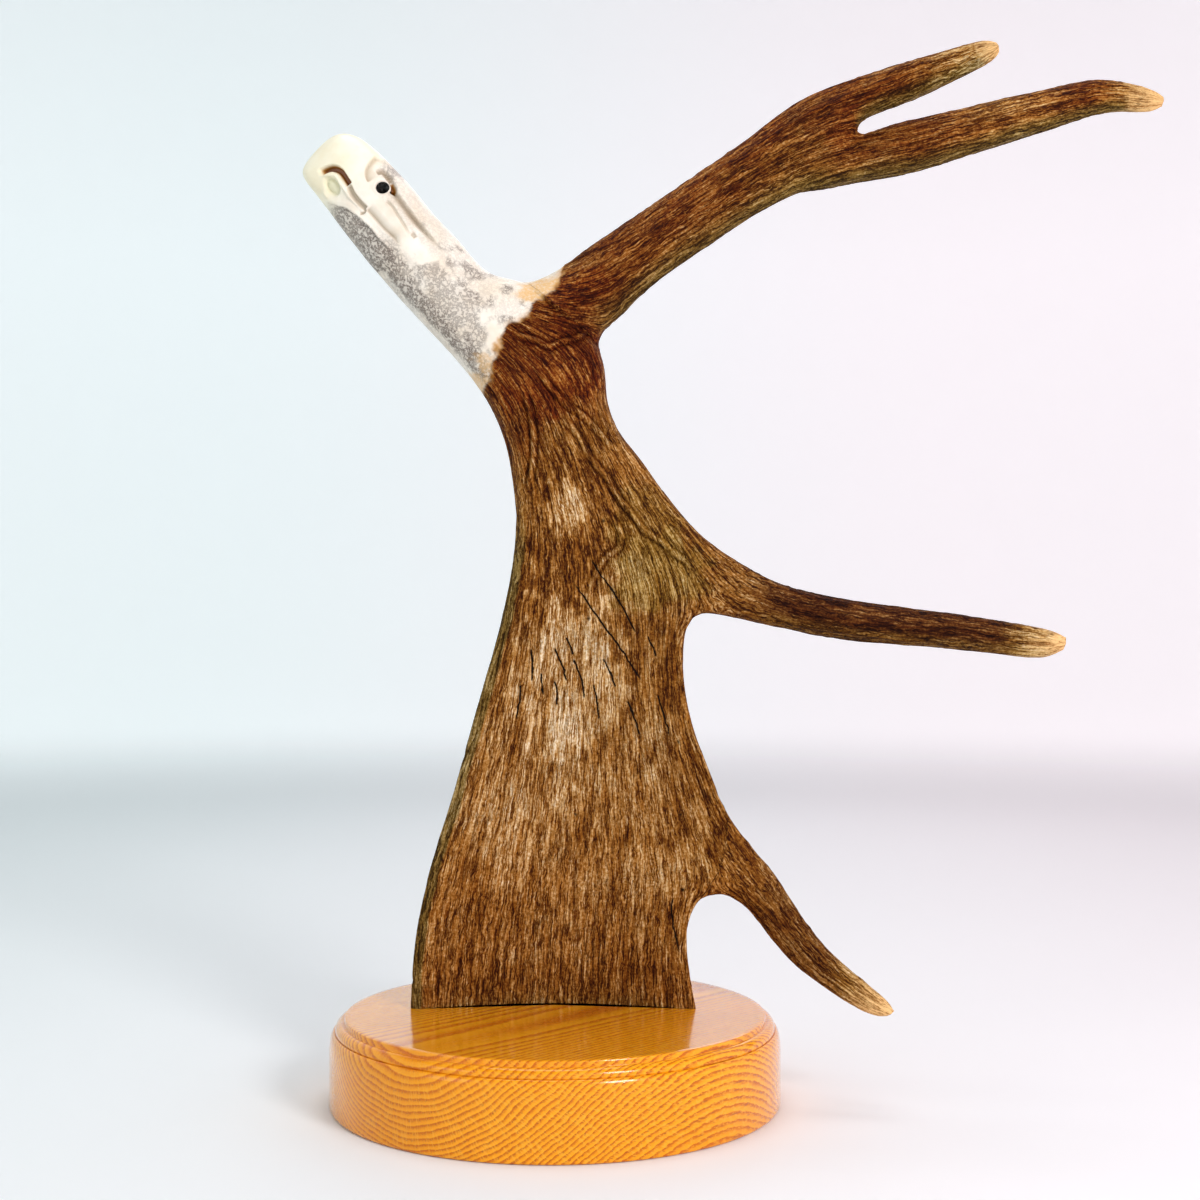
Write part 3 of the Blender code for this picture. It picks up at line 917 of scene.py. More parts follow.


# %% [markdown]
# ## Where the finishes lie
#
# The carver took the brown skin off the beam with a rasp and stopped in a ragged line across the
# crotch. The wild part keeps its colours: nearly black-red in the crotch, olive at the left edge,
# rubbed tan on the high places and cream at the tips. Some of the tan is painted highlight, some of
# the olive on upward faces is painted top light, and the tines' darker brown is partly painted shade.

# %% Zones
BARE_LINE = [(-53.0, 385.0), (-46.0, 396.0), (-40.1, 403.6), (-35.6, 411.6), (-33.9, 419.6),
             (-31.2, 428.5), (-26.7, 438.3), (-16.9, 443.6), (-13.4, 451.6), (-4.5, 455.2),
             (0.9, 463.2), (8.0, 482.0)]


def blob(centre, reach, ragged=0.0, size=8.0, seed=0):
    """1 at the centre, 0 beyond reach = (across, up), with a ragged edge."""
    off = (flat_place - centre) / reach
    edge = 1 - np.hypot(off[:, 0], off[:, 1])
    if ragged:
        edge = edge + ragged * rough_field(points / size, 3, seed)
    return soft_step(0, 0.5, edge)


distance, _, side = along(curve_through(BARE_LINE), flat_place)
past_line = -distance * side + 2.6 * rough_field(points / 5, 4, 11)
skin_mask = soft_step(-0.8, 1.0, past_line)
gold_mask = soft_step(-2.8, -0.3, past_line) * (1 - soft_step(0.0, 2.2, past_line))
from_left, _, _ = along(curve_through([row[0] for row in TRUNK]), flat_place)
front = soft_step(0.25, 0.7, -normals[:, 1])
facing = soft_step(0.30, 0.72, np.abs(normals[:, 1]))
TIPS = [(UPPER_TIP, 17, 62), (LOWER_TIP, 30, 50), (MIDDLE_TIP, 28, 44), (LOW_TIP, 34, 48)]
tip_mask = np.zeros(len(points))
near_tip = np.zeros(len(points))
for tip, reach, paling in TIPS:
    gap = np.hypot(*(flat_place - tip).T) + 6 * rough_field(points / 6, 3, 31)
    tip_mask = np.maximum(tip_mask, 1 - soft_step(reach * 0.2, reach, gap))
    near_tip = np.maximum(near_tip, 1 - soft_step(reach * 0.6, paling, gap))
print("bare bone:", round(float((1 - skin_mask).mean() * 100)), "% of the skin's points")


# %% [markdown]
# ## Grooves of the wild surface
#
# On the broad faces the pattern is read across the flow, so each groove follows a stream line. The
# flow crowds together in the neck, and to keep the grooves one size everywhere, coarse and fine
# patterns are mixed by how crowded the flow is. On the narrow edges, where the flow runs out of sight
# round the corner, the pattern is read across the thickness. Narrow valleys and round backs come from
# taking the size of a random field: it falls to a sharp zero wherever the field changes sign.

# %% Carving the grain
GROOVE_PITCH = 2.5             # millimetres between the grooves' random cells
GROOVE_DEPTH = 0.60
GROOVE_WIDTH = 0.26            # of a cell
FLANK_WIDTH = 0.28             # the same on the narrow edges
SWELL_PITCH = 8.0              # of the broad ridges that carry the grooves
SWELL_HEIGHT = 0.55
FLANK_PITCH = 1.9              # of the narrow edges' grooves
ROUGHNESS = 0.10               # height of the finest unevenness
LINE_REACH = 1 / 42            # how slowly the pattern changes along the flow, per millimetre
COUNTS = (0.25, 0.5, 1.0, 2.0, 4.0, 8.0)       # cells for one step of the flow


def valley(value, width):
    return 1 - np.clip(np.abs(value) / width, 0, 1)


def suited(pitch, wanted, tolerance):
    """How well a pattern of this pitch suits the wanted one, from 0 to 1."""
    return np.exp(-np.log(pitch / wanted) ** 2 / (2 * tolerance ** 2))


def grain_relief():
    """Height in millimetres, and how deep in a groove each point is from 0 to 1."""
    slow = points * [LINE_REACH, LINE_REACH * 2.4, LINE_REACH]
    wander = 0.9 * field(points / 16, 5)
    height = np.zeros(len(points))
    depth = np.zeros(len(points))
    for octave, count in enumerate(COUNTS):
        pitch = 1 / (count * crowding)
        place = np.column_stack([(flow + wander * 0.6) * count, slow[:, 0] + slow[:, 1] + octave * 9,
                                 slow[:, 2]])
        value = field(place, 20 + octave)
        cut = suited(pitch, GROOVE_PITCH, 0.45) * valley(value, GROOVE_WIDTH) * facing
        height -= cut * GROOVE_DEPTH
        height += suited(pitch, SWELL_PITCH, 0.4) * value * facing * SWELL_HEIGHT
        depth = np.maximum(depth, cut)
    flank = np.column_stack([(off_core + wander) / FLANK_PITCH, slow[:, 0] * 1.6, slow[:, 2] * 1.6])
    cut = valley(field(flank, 40), FLANK_WIDTH) * (1 - facing)
    height -= cut * GROOVE_DEPTH * 0.8
    depth = np.maximum(depth, cut)
    height += ROUGHNESS * rough_field(points / 2.2, 2, 50)
    return height, depth


relief, groove = grain_relief()
calm = 1 - 0.75 * tip_mask
relief *= skin_mask * calm
groove *= skin_mask * calm
relief += (1 - skin_mask) * 0.12 * rough_field(points / 9, 2, 60)
print("grain relief from", round(float(relief.min()), 2), "to", round(float(relief.max()), 2), "mm")


# %% [markdown]
# Blood vessels under the velvet leave raised cords and shallow trenches on the bone. Drying opens
# thin black cracks along the grain, and small round holes are left where vessels went in. These are
# single features with their own places, so each is a short drawn line on the front. The skin
# keeps each crack's distance, with its side, so the material can draw an edge finer than its points.

# %% Veins, cracks and pores
VEINS = [
    [(-9.8, 412.5), (-3.6, 403.6), (6.2, 392.9), (15.1, 387.5), (24.0, 378.6), (34.7, 366.2)],
    [(-2.7, 384.0), (6.2, 383.1), (13.3, 375.1), (20.4, 362.6), (29.3, 351.9), (36.0, 340.4),
     (44.9, 329.7), (50.3, 322.5), (61.0, 315.3), (68.2, 308.2), (78.9, 302.8), (89.7, 293.9)],
    [(28.8, 333.2), (34.2, 326.1), (36.9, 319.8), (36.0, 312.6), (28.8, 307.3), (23.4, 299.2),
     (19.9, 290.3), (19.0, 283.1)],
    [(-25.0, 432.9), (-11.6, 429.4), (-3.6, 425.8), (2.6, 428.5), (13.3, 432.0), (20.4, 440.0),
     (29.3, 444.5)],
    [(-16.0, 345.0), (-12.5, 366.0), (-14.0, 388.0), (-20.0, 402.0)],
]
CRACKS = [
    [(18.1, 309.1), (24.3, 299.2), (30.6, 290.3), (37.8, 279.5), (43.1, 268.8), (48.5, 259.8)],
    [(7.3, 296.5), (14.5, 286.7), (19.9, 278.6), (27.0, 268.8), (36.0, 256.3), (46.7, 240.2),
     (52.1, 231.2)],
    [(-1.6, 256.3), (3.7, 245.5), (6.4, 234.8)],
    [(9.1, 250.9), (12.7, 241.9), (15.4, 233.0), (16.3, 224.0)],
    [(52.1, 263.4), (55.7, 254.5), (57.4, 249.1)],
    [(-14.2, 256.3), (-13.3, 245.5), (-14.2, 234.8)],
    [(26.1, 250.9), (31.5, 240.2), (34.2, 231.2)],
    [(67.1, 114.8), (65.8, 103.2), (68.4, 90.3), (71.0, 80.1)],
    [(21.0, 236.0), (23.5, 224.0), (24.5, 212.0)],
    [(57.0, 231.0), (62.0, 216.0), (65.5, 203.0)],
    [(40.0, 227.0), (45.0, 214.0), (48.0, 203.0)],
    [(-8.8, 242.0), (-8.2, 235.0), (-7.0, 227.6)],
    [(-0.7, 238.0), (0.6, 230.0), (0.4, 221.0)],
    [(5.5, 262.0), (8.5, 256.0), (10.2, 250.5)],
    [(-20.0, 236.0), (-20.8, 226.0), (-23.0, 213.0)],
]
PORES = [(82.5, 284.9), (70.0, 275.1), (18.5, 272.6), (69.7, 202.2), (11.0, 159.3), (71.0, 159.8),
         (72.2, 117.4), (119.8, 124.0), (27.0, 327.9), (204.5, 541.0), (194.8, 520.5),
         (133.2, 553.4), (317.0, 565.0)]
VEIN_HEIGHT = 1.5
VEIN_HALF_WIDTH = 1.1
TRENCH_OFF = 2.4               # of the trench beside a vein
CRACK_DEPTH = 0.6
CRACK_REACH = 2.4              # millimetres to each side where the crack's distance is kept
PORE_RADIUS = 1.0
PORE_DEPTH = 1.3

pore_mask = np.zeros(len(points))
crack_off = np.full(len(points), CRACK_REACH)
crack_share = np.zeros(len(points))
vein_side = np.zeros(len(points))
vein_top = np.zeros(len(points))
for line in VEINS:
    distance, share, _ = along(curve_through(line), flat_place)
    fade = soft_step(0, 0.12, share) * (1 - soft_step(0.85, 1, share)) * front
    relief += fade * VEIN_HEIGHT * (np.exp(-(distance / VEIN_HALF_WIDTH) ** 2)
                                    - 0.8 * np.exp(-((distance - TRENCH_OFF) / 0.8) ** 2))
    vein_side = np.maximum(vein_side, fade * np.exp(-((distance - 2.3) / 0.8) ** 2))
    vein_top = np.maximum(vein_top, fade * np.exp(-(distance / 1.2) ** 2))
for line in CRACKS:
    distance, share, side = along(curve_through(line), flat_place + 0.5 * np.column_stack(
        [field(points / 3, 70), field(points / 3, 71)]))
    fade = soft_step(0, 0.2, share) * (1 - soft_step(0.75, 1, share)) * front
    relief -= CRACK_DEPTH * (1 - soft_step(0.2, 1.2, distance)) * fade
    nearer = distance < np.abs(crack_off)
    crack_off = np.where(nearer, distance * np.where(side == 0, 1, side), crack_off)
    crack_share = np.where(nearer, fade * (1 - soft_step(1.5, CRACK_REACH, distance)), crack_share)
for centre in PORES:
    distance = np.hypot(*(flat_place - centre).T)
    cut = (1 - soft_step(PORE_RADIUS * 0.4, PORE_RADIUS * 1.3, distance)) * front
    relief -= PORE_DEPTH * cut
    pore_mask = np.maximum(pore_mask, cut)
groove = np.maximum(groove, vein_side * 1.25)
print("drawn:", len(VEINS), "veins,", len(CRACKS), "cracks,", len(PORES), "pores")


# %% [markdown]
# ## The carved head
#
# The carver worked both sides alike: a crescent nostril cut deep enough to turn brown, the mouth's
# corner with a small tongue, a long channel under the cheek, a step behind the beak, and a brow cut
# that starts as a pocket behind the eye and runs down the neck. Each cut is a line with a width and a
# depth. A cut with one steep wall is deepest beside its line and rises gently on the other side.

# %% Cuts of the head
EYE_PLACE = (-97.6, 514.9)
EYE_SIGHT_RADIUS = 3.6         # of the bead where it meets the bone
NOSTRIL = [(-134.2, 524.6), (-130.6, 526.4), (-126.4, 527.1), (-122.4, 525.2), (-119.6, 521.6),
           (-116.2, 516.4)]
TONGUE = (-126.3, 516.8)
TONGUE_ALONG = (0.59, -0.81)
LIP = [(-133.8, 522.0), (-130.0, 523.0), (-124.4, 522.2), (-120.6, 517.0), (-115.6, 509.6),
       (-110.4, 504.4), (-107.4, 500.4)]
CHIN = [(-133.0, 516.6), (-129.0, 511.2), (-123.7, 508.6), (-117.0, 506.2), (-110.0, 501.8)]
GAPE = [(-116.4, 516.2), (-114.1, 511.3), (-110.4, 506.6), (-106.4, 502.6)]
HOOK = [(-110.0, 500.0), (-107.8, 500.6), (-106.6, 502.4)]
JAW = [(-106.6, 502.6), (-101.1, 496.6), (-95.7, 490.6), (-90.4, 486.0), (-87.4, 482.4)]
JAW_EDGE = [(-133.4, 511.6), (-123.7, 506.9), (-115.7, 503.3), (-105.0, 494.0), (-98.4, 486.0),
            (-93.1, 481.3), (-87.8, 480.2)]
STEP = [(-101.2, 535.4), (-104.4, 530.5), (-106.6, 525.9), (-106.6, 521.2), (-104.8, 517.4)]
BROW_START = [(-101.4, 523.6), (-97.7, 525.0), (-95.1, 522.6), (-92.4, 518.6)]
POCKET = [(-92.4, 518.6), (-90.8, 515.4), (-90.6, 512.4)]
BROW = [(-91.2, 515.0), (-86.4, 508.6), (-81.1, 501.3), (-76.4, 495.3), (-71.8, 490.0),
        (-66.5, 483.3), (-63.0, 479.0)]
CHEEK_LINE = [(-95.7, 507.9), (-91.7, 503.9), (-87.8, 497.9), (-83.8, 491.3), (-81.8, 486.0)]
CHEEK_END = [(-80.6, 489.0), (-78.4, 486.4)]

# %% Shapes of the cuts
HEAD_END = -45                 # the carving stays left of this
face_side = soft_step(0.15, 0.5, np.abs(normals[:, 1])) * (flat_place[:, 0] < HEAD_END)


def taper(share, start, end):
    return soft_step(0, start, share) * (1 - soft_step(1 - end, 1, share))


def round_cut(line, half_width, start, end):
    """How deep each point lies in a rounded groove, from 0 to 1."""
    distance, share, _ = along(curve_through(line), flat_place)
    inside = 1 - soft_step(half_width * 0.45, half_width, distance)
    return inside * taper(share, start, end) * face_side


def steep_cut(line, width, high_side, start, end, narrowing):
    """A cut that is steep on high_side of the line (+1 left of travel) and gentle on the other."""
    distance, share, side = along(curve_through(line), flat_place)
    reach = width * (1 - narrowing * share)
    low = np.where(side == high_side, 1 - soft_step(0, 0.9, distance),
                   (1 - np.clip(distance / reach, 0, 1)) ** 1.5)
    return low * taper(share, start, end) * face_side


def ridge(line, half_width):
    distance, share, _ = along(curve_through(line), flat_place)
    return np.exp(-(distance / half_width) ** 2) * taper(share, 0.15, 0.2) * face_side


print("points on the head's two sides:", int((face_side > 0).sum()))

# %% Cutting
ROUND_CUTS = {                 # depth, line, half width, taper at the start and at the end
    "nostril": (4.6, NOSTRIL, 2.5, 0.10, 0.06),
    "gape": (2.2, GAPE, 2.0, 0.03, 0.05),
    "hook": (1.4, HOOK, 0.9, 0.1, 0.1),
    "brow_start": (2.6, BROW_START, 2.2, 0.2, 0.02),
    "pocket": (3.8, POCKET, 2.1, 0.05, 0.1),
    "cheek_line": (1.0, CHEEK_LINE, 1.1, 0.1, 0.3),
    "cheek_end": (0.9, CHEEK_END, 1.6, 0.1, 0.1),
}
STEEP_CUTS = {                 # depth, line, width, high side, two tapers, and narrowing on the way
    "jaw": (2.6, JAW, 5.5, -1, 0.05, 0.25, 0.0),
    "step": (2.6, STEP, 8.0, -1, 0.10, 0.12, 0.0),
    "brow": (3.8, BROW, 6.5, 1, 0.02, 0.45, 0.6),
}
RIDGES = [                     # height, line and half width
    (1.1, LIP, 0.9), (1.0, CHIN, 1.1), (1.2, JAW_EDGE, 1.2), (0.8, CHEEK_LINE, 3.0),
]
SHADED = {"brow_start": 1.0, "gape": 1.0, "hook": 1.0, "jaw": 0.8, "cheek_end": 0.8, "step": 0.7,
          "cheek_line": 0.6}   # how much darkness each cut holds
TONGUE_HALF = (5.8, 3.5)       # length and width of the hollow round the tongue
TONGUE_HOLLOW = 1.9
TONGUE_HEIGHT = 1.2
EYE_RIM_HEIGHT = 0.55
SOCKET_DEPTH = 2.2

head_relief = np.zeros(len(points))
cuts = {}
for shape, table in ((round_cut, ROUND_CUTS), (steep_cut, STEEP_CUTS)):
    for name, (depth, *settings) in table.items():
        cuts[name] = shape(*settings)
        head_relief -= depth * cuts[name]
for height, line, half_width in RIDGES:
    head_relief += height * ridge(line, half_width)
along_tongue = (flat_place - TONGUE) @ TONGUE_ALONG
across_tongue = (flat_place - TONGUE) @ (-TONGUE_ALONG[1], TONGUE_ALONG[0])
bulb = np.hypot(along_tongue / TONGUE_HALF[0], across_tongue / TONGUE_HALF[1])
moss_mask = (1 - soft_step(0.78, 1.22, bulb)) * face_side
head_relief -= TONGUE_HOLLOW * moss_mask
head_relief += TONGUE_HEIGHT * np.sqrt(np.clip(1 - (bulb / 0.8) ** 2, 0, 1)) * face_side
from_eye = np.hypot(*(flat_place - EYE_PLACE).T)
rim = np.exp(-((from_eye - EYE_SIGHT_RADIUS - 0.9) / 0.6) ** 2)
socket = 1 - soft_step(EYE_SIGHT_RADIUS - 0.9, EYE_SIGHT_RADIUS + 0.1, from_eye)
head_relief += (EYE_RIM_HEIGHT * rim - SOCKET_DEPTH * socket) * face_side
relief += head_relief
amber_mask = np.maximum(cuts["nostril"], cuts["pocket"])
shade_mask = np.maximum.reduce([share * cuts[name] for name, share in SHADED.items()]
                               + [cuts["brow"] ** 0.7])
print("deepest cut of the head:", round(float(-head_relief.min()), 1), "mm")


# %% [markdown]
# ## Colour masks
#
# A material can't know where the crotch or the beak is, so the skin carries one number a point for
# each zone. The material mixes its colours by them, and adds everything finer itself.

# %% Masks of the bare bone
x_place, z_place = flat_place[:, 0], flat_place[:, 1]
UP_BEAM = np.array([-0.69, 0.72])                    # from the crotch towards the beak
OVER_BEAM = np.array([0.72, 0.69])                   # from the beam's under side to its top
NECK_MIDDLE = (-88.0, 477.0)
up_beam = flat_place @ UP_BEAM
over_beam = (flat_place - NECK_MIDDLE) @ OVER_BEAM + 3.0 * rough_field(points / 5, 3, 79)


def below(low, high, value):
    """1 below low, fading to 0 at high."""
    return 1 - soft_step(low, high, value)


beak_start = soft_step(448, 460, up_beam)
cream = soft_step(444, 462, up_beam)
bare_strip = below(2.0, 5.0, from_left + 1.5 * rough_field(points / 9, 2, 78)) * (z_place < 470)
jaw_line, _, jaw_side = along(curve_through(JAW_EDGE), flat_place)
smooth_chin = soft_step(-1.0, 1.5, jaw_line * jaw_side) * below(-104, -92, x_place)
under_jaw = soft_step(-0.6, 1.0, -jaw_line * jaw_side) * below(-100, -84, x_place)
# The under sides of the beam and jaw are greyed: partly real mottle, partly painted shade.
mottle_and_underside_shade = np.maximum(below(-15.0, -1.0, over_beam), 0.9 * under_jaw)
mottle_and_underside_shade += 0.6 * below(-4.0, 8.0, over_beam) * below(-88, -74, x_place) * soft_step(-112, -100, x_place)
mottle_and_underside_shade += 0.6 * blob((-60.0, 450.0), (32, 34), 0.9, 9, 80)
mottle_and_underside_shade += 0.5 * blob((-93.0, 530.0), (15, 12), 0.3, 5, 81)
mottle_and_underside_shade += 0.22 * soft_step(12.0, 16.0, over_beam)
mottle_and_underside_shade = np.clip(mottle_and_underside_shade * (1 - beak_start) * (1 - smooth_chin) * (1 - 0.8 * bare_strip), 0, 1)
stain = np.maximum(blob((-8.0, 458.0), (18, 10), 0.4, 5, 97),
                   0.75 * blob((-42.0, 402.0), (12, 20), 0.6, 5, 98)) * (1 - skin_mask)
print("mottled:", round(float(mottle_and_underside_shade.mean() * 100)), "% of the skin's points")

# %% Masks of the brown skin
on_stem = soft_step(-6, 30, x_place) * soft_step(425, 450, z_place)
on_middle = soft_step(92, 135, x_place) * soft_step(225, 245, z_place) * below(320, 340, z_place)
on_low = soft_step(100, 132, x_place) * below(140, 160, z_place)
ruddy = 1.1 * blob((-2.0, 430.0), (54, 54), 0.25, 9, 82) + 0.6 * blob((-20.0, 395.0), (26, 50), 0.3, 9, 83)
ruddy += (0.75 + 0.4 * rough_field(points / 24, 3, 94)) * on_stem
ruddy -= 0.5 * blob((148.0, 518.0), (60, 24), 0.5, 8, 84)
# Darker brown on the middle and lower tines is partly their own colour and partly painted shade.
darker_brown_and_shade = (0.9 * on_middle + 0.45 * on_low) * (1 - near_tip)
darker_brown_and_shade += 0.2 * on_stem * (0.5 + rough_field(points / 15, 3, 95)) * (1 - near_tip)
darker_brown_and_shade += 0.25 * blob((-5.0, 428.0), (40, 34), 0.4, 8, 101)
# Tan is rubbed wear and also painted highlight, on front faces only: palm, fork root, vein tops.
tan_wear_and_highlight = blob((8.0, 338.0), (15, 20), 0.5, 5, 85) + 1.1 * blob((8.0, 244.0), (38, 54), 0.5, 8, 86)
tan_wear_and_highlight += 0.3 * blob((45.0, 390.0), (22, 40), 0.5, 7, 87) + 0.4 * blob((60.0, 300.0), (46, 40), 0.5, 7, 88)
tan_wear_and_highlight += 1.1 * blob((162.0, 537.0), (30, 15), 0.6, 5, 89) + 0.4 * blob((-22.0, 190.0), (46, 70), 0.5, 14, 96)
tan_wear_and_highlight += 0.3 * blob((20.0, 130.0), (90, 70), 0.6, 20, 99) + 0.4 * blob((26.0, 215.0), (60, 60), 0.5, 14, 100)
tan_wear_and_highlight = np.clip(tan_wear_and_highlight * front + 0.75 * near_tip + 0.35 * vein_top, 0, 1)
# Olive on faces that look up is partly real colour and partly painted top light.
upwards = soft_step(0.1, 0.7, normals[:, 2])
olive_and_top_light = 0.9 * blob((58.0, 296.0), (36, 28), 0.4, 8, 90) + 0.6 * blob((52.0, 322.0), (28, 32), 0.3, 8, 91)
olive_and_top_light += 0.5 * upwards * (on_stem + on_middle) + 0.5 * near_tip
edge_strip = below(5.2, 7.0, from_left + 0.8 * rough_field(points / 6, 2, 93)) * below(300, 345, z_place)
edge_strip = np.maximum(edge_strip, 0.9 * soft_step(0.2, 0.8, normals[:, 2]) * on_stem * (1 - tip_mask))
MASKS = {
    "flow": flow, "crowding": crowding, "facing": facing, "off_core": off_core, "skin": skin_mask,
    "gold": gold_mask, "stain": stain, "groove": groove, "crack_off": crack_off,
    "crack_share": crack_share, "pore": pore_mask, "amber": amber_mask, "moss": moss_mask,
    "mottle_and_underside_shade": mottle_and_underside_shade, "cream": cream, "ruddy": np.clip(ruddy, 0, 1), "darker_brown_and_shade": np.clip(darker_brown_and_shade, 0, 1),
    "tan_wear_and_highlight": tan_wear_and_highlight, "olive_and_top_light": np.clip(olive_and_top_light, 0, 1), "edge": edge_strip, "tip": tip_mask,
    "shade": shade_mask,
}
print("masks:", ", ".join(MASKS))

# %% Moving the skin's points
moved = points + normals * relief[:, None]
sawn = points[:, 2] < BASE_TOP + CUT_GAP + 0.02
moved[:, 2] = np.where(sawn, BASE_TOP + CUT_REST, np.maximum(moved[:, 2], BASE_TOP + CUT_GAP))
skin.data.vertices.foreach_set("co", (moved * MM).astype(np.float32).ravel())
skin.data.update()
print("skin carved")


# %% [markdown]
# ## Parting the skin into limbs
#
# The library keeps the antler as named limbs, split at its forks, so the skin is parted the same way.
# Neighbours share the points of their seam exactly, and each keeps the whole skin's normals there,
# so no seam shows. Every open end is closed with a fan of faces.

# %% Parting
def faces_of(mesh):
    """Corner counts, first corners and limbs of the faces, and the point of every corner."""
    of_faces = [read_array(mesh.polygons, name, kind=np.int32)
                for name in ("loop_total", "loop_start", "material_index")]
    return (*of_faces, read_array(mesh.loops, "vertex_index", kind=np.int32))


def open_rings(sizes, corners):
    """The open edges of a set of faces, as rings of points in face order."""
    ends = np.concatenate([[0], np.cumsum(sizes)])[:-1]
    following = np.arange(len(corners)) + 1
    following[ends + sizes - 1] = ends
    a, b = corners, corners[following]
    reach = int(corners.max()) + 1
    keys = np.minimum(a, b).astype(np.int64) * reach + np.maximum(a, b)
    _, index, uses = np.unique(keys, return_index=True, return_counts=True)
    lone = index[uses == 1]
    step = dict(zip(a[lone].tolist(), b[lone].tolist()))
    rings = []
    while step:
        start, here = step.popitem()
        ring = [start]
        while here != start:
            ring.append(here)
            here = step.pop(here)
        rings.append(ring)
    return rings


def limb_mesh(name, whole, number, place, direction):
    sizes, starts, limb, corners = whole
    mine = np.flatnonzero(limb == number)
    size = sizes[mine]
    picked = np.concatenate([corners[starts[mine[size == n]][:, None] + np.arange(n)].ravel()
                             for n in np.unique(size)])
    size = np.concatenate([size[size == n] for n in np.unique(size)])
    used, local = np.unique(picked, return_inverse=True)
    rings = open_rings(size, local.reshape(-1))
    centres = [place[used[ring]].mean(axis=0) for ring in rings]
    extra = []
    for offset, ring in enumerate(rings):
        hub = len(used) + offset
        for here, following in zip(ring, ring[1:] + ring[:1]):
            extra += [following, here, hub]
    mesh = bpy.data.meshes.new(name)
    all_corners = np.concatenate([local.reshape(-1), np.array(extra, np.int64)]).astype(np.int32)
    all_sizes = np.concatenate([size, np.full(len(extra) // 3, 3)]).astype(np.int32)
    all_places = np.concatenate([place[used]] + [centre[None] for centre in centres])
    mesh.vertices.add(len(all_places))
    mesh.vertices.foreach_set("co", (all_places * MM).astype(np.float32).ravel())
    mesh.loops.add(len(all_corners))
    mesh.loops.foreach_set("vertex_index", all_corners)
    mesh.polygons.add(len(all_sizes))
    first_corners = np.concatenate([[0], np.cumsum(all_sizes)[:-1]])
    mesh.polygons.foreach_set("loop_start", first_corners.astype(np.int32))
    mesh.update(calc_edges=True)
    mesh.shade_smooth()
    for mask, values in MASKS.items():
        middles = [values[used[ring]].mean() for ring in rings]
        kept = np.concatenate([values[used], middles]).astype(np.float32)
        mesh.attributes.new(mask, "FLOAT", "POINT").data.foreach_set("value", kept)
    turned = np.concatenate([direction[used], np.tile([0.0, 0.0, -1.0], (len(centres), 1))])
    mesh.normals_split_custom_set_from_vertices(turned.tolist())
    return mesh


whole = faces_of(skin.data)
direction = read_normals(skin.data)
place = read_points(skin.data)
limbs = {}
for number, name in enumerate(LIMBS):
    shown = name + "_surface"
    limbs[name] = bpy.data.objects.new(shown, limb_mesh(shown, whole, number, place, direction))
    bpy.context.scene.collection.objects.link(limbs[name])
    hand_over(limbs[name], "carved_bone" if name == "beam_head" else "antler_brown", name)
bpy.data.objects.remove(skin, do_unlink=True)


# %% [markdown]
# ## Oak base
#
# The base was turned on a lathe. The same rings that made the floor make it: the foot's circle is
# extruded and scaled up the side, over the rounded shoulder, along the quarter round and its two
# small steps, to the flat top. Two holes for the screws are cut from below.

# %% Turned base
BASE_RADIUS = 127.0
TOP_RADIUS = 118.2
SHOULDER_END = 31.0
SHOULDER_START = (124.4, 41.9)
OVOLO_OUTER = (123.8, 42.4)
LEDGE = (TOP_RADIUS + 1.6, BASE_TOP - 3.0)
RING_POINTS = 256


def quarter(start, end, steps):
    """A quarter ellipse that leaves start upright and reaches end level."""
    turns = [math.pi / 2 * step / steps for step in range(1, steps + 1)]
    return [(end[0] + (start[0] - end[0]) * math.cos(turn),
             start[1] + (end[1] - start[1]) * math.sin(turn)) for turn in turns]


profile = [(BASE_RADIUS - 0.9, 0.35), (BASE_RADIUS - 0.3, 1.0), (BASE_RADIUS, 2.2),
           (BASE_RADIUS, SHOULDER_END)]
profile += quarter((BASE_RADIUS, SHOULDER_END), SHOULDER_START, 10)
profile += [(SHOULDER_START[0] - 0.5, SHOULDER_START[1] - 0.1),
            (SHOULDER_START[0] - 0.9, SHOULDER_START[1] - 0.3), (OVOLO_OUTER[0] - 0.1, OVOLO_OUTER[1] + 0.1),
            OVOLO_OUTER]
profile += quarter((OVOLO_OUTER[0], OVOLO_OUTER[1] + 0.4), LEDGE, 10)
profile += [(TOP_RADIUS + 1.0, LEDGE[1] - 0.2), (TOP_RADIUS + 0.6, LEDGE[1] - 0.1),
            (TOP_RADIUS + 0.45, LEDGE[1] + 0.3), (TOP_RADIUS + 0.4, BASE_TOP - 0.9),
            (TOP_RADIUS + 0.1, BASE_TOP - 0.3), (TOP_RADIUS - 0.6, BASE_TOP),
            (TOP_RADIUS - 3.0, BASE_TOP)]
clear_selection()
foot = (BASE_RADIUS - 2.0, 0.0)
bpy.ops.mesh.primitive_circle_add(vertices=RING_POINTS, radius=foot[0] * MM, fill_type="NGON")
base = bpy.context.object
base.name = "oak_base_surface"
bpy.ops.object.mode_set(mode="EDIT")
bpy.ops.mesh.select_mode(type="FACE")
bpy.ops.mesh.select_all(action="SELECT")
ring = (foot[0] * MM, 0.0)
for radius, height in profile:
    ring = extrude_to(radius * MM, height * MM, ring)
bpy.ops.mesh.select_all(action="SELECT")
bpy.ops.mesh.normals_make_consistent(inside=False)
bpy.ops.object.mode_set(mode="OBJECT")
print("base:", len(base.data.polygons), "faces")

# %% Screw holes
SCREW_BORES = [(name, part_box(name)) for name in ("screw_left", "screw_right")]
COUNTERBORE_RADIUS = 6.0
COUNTERBORE_DEPTH = 12.0
PILOT_RADIUS = 2.6


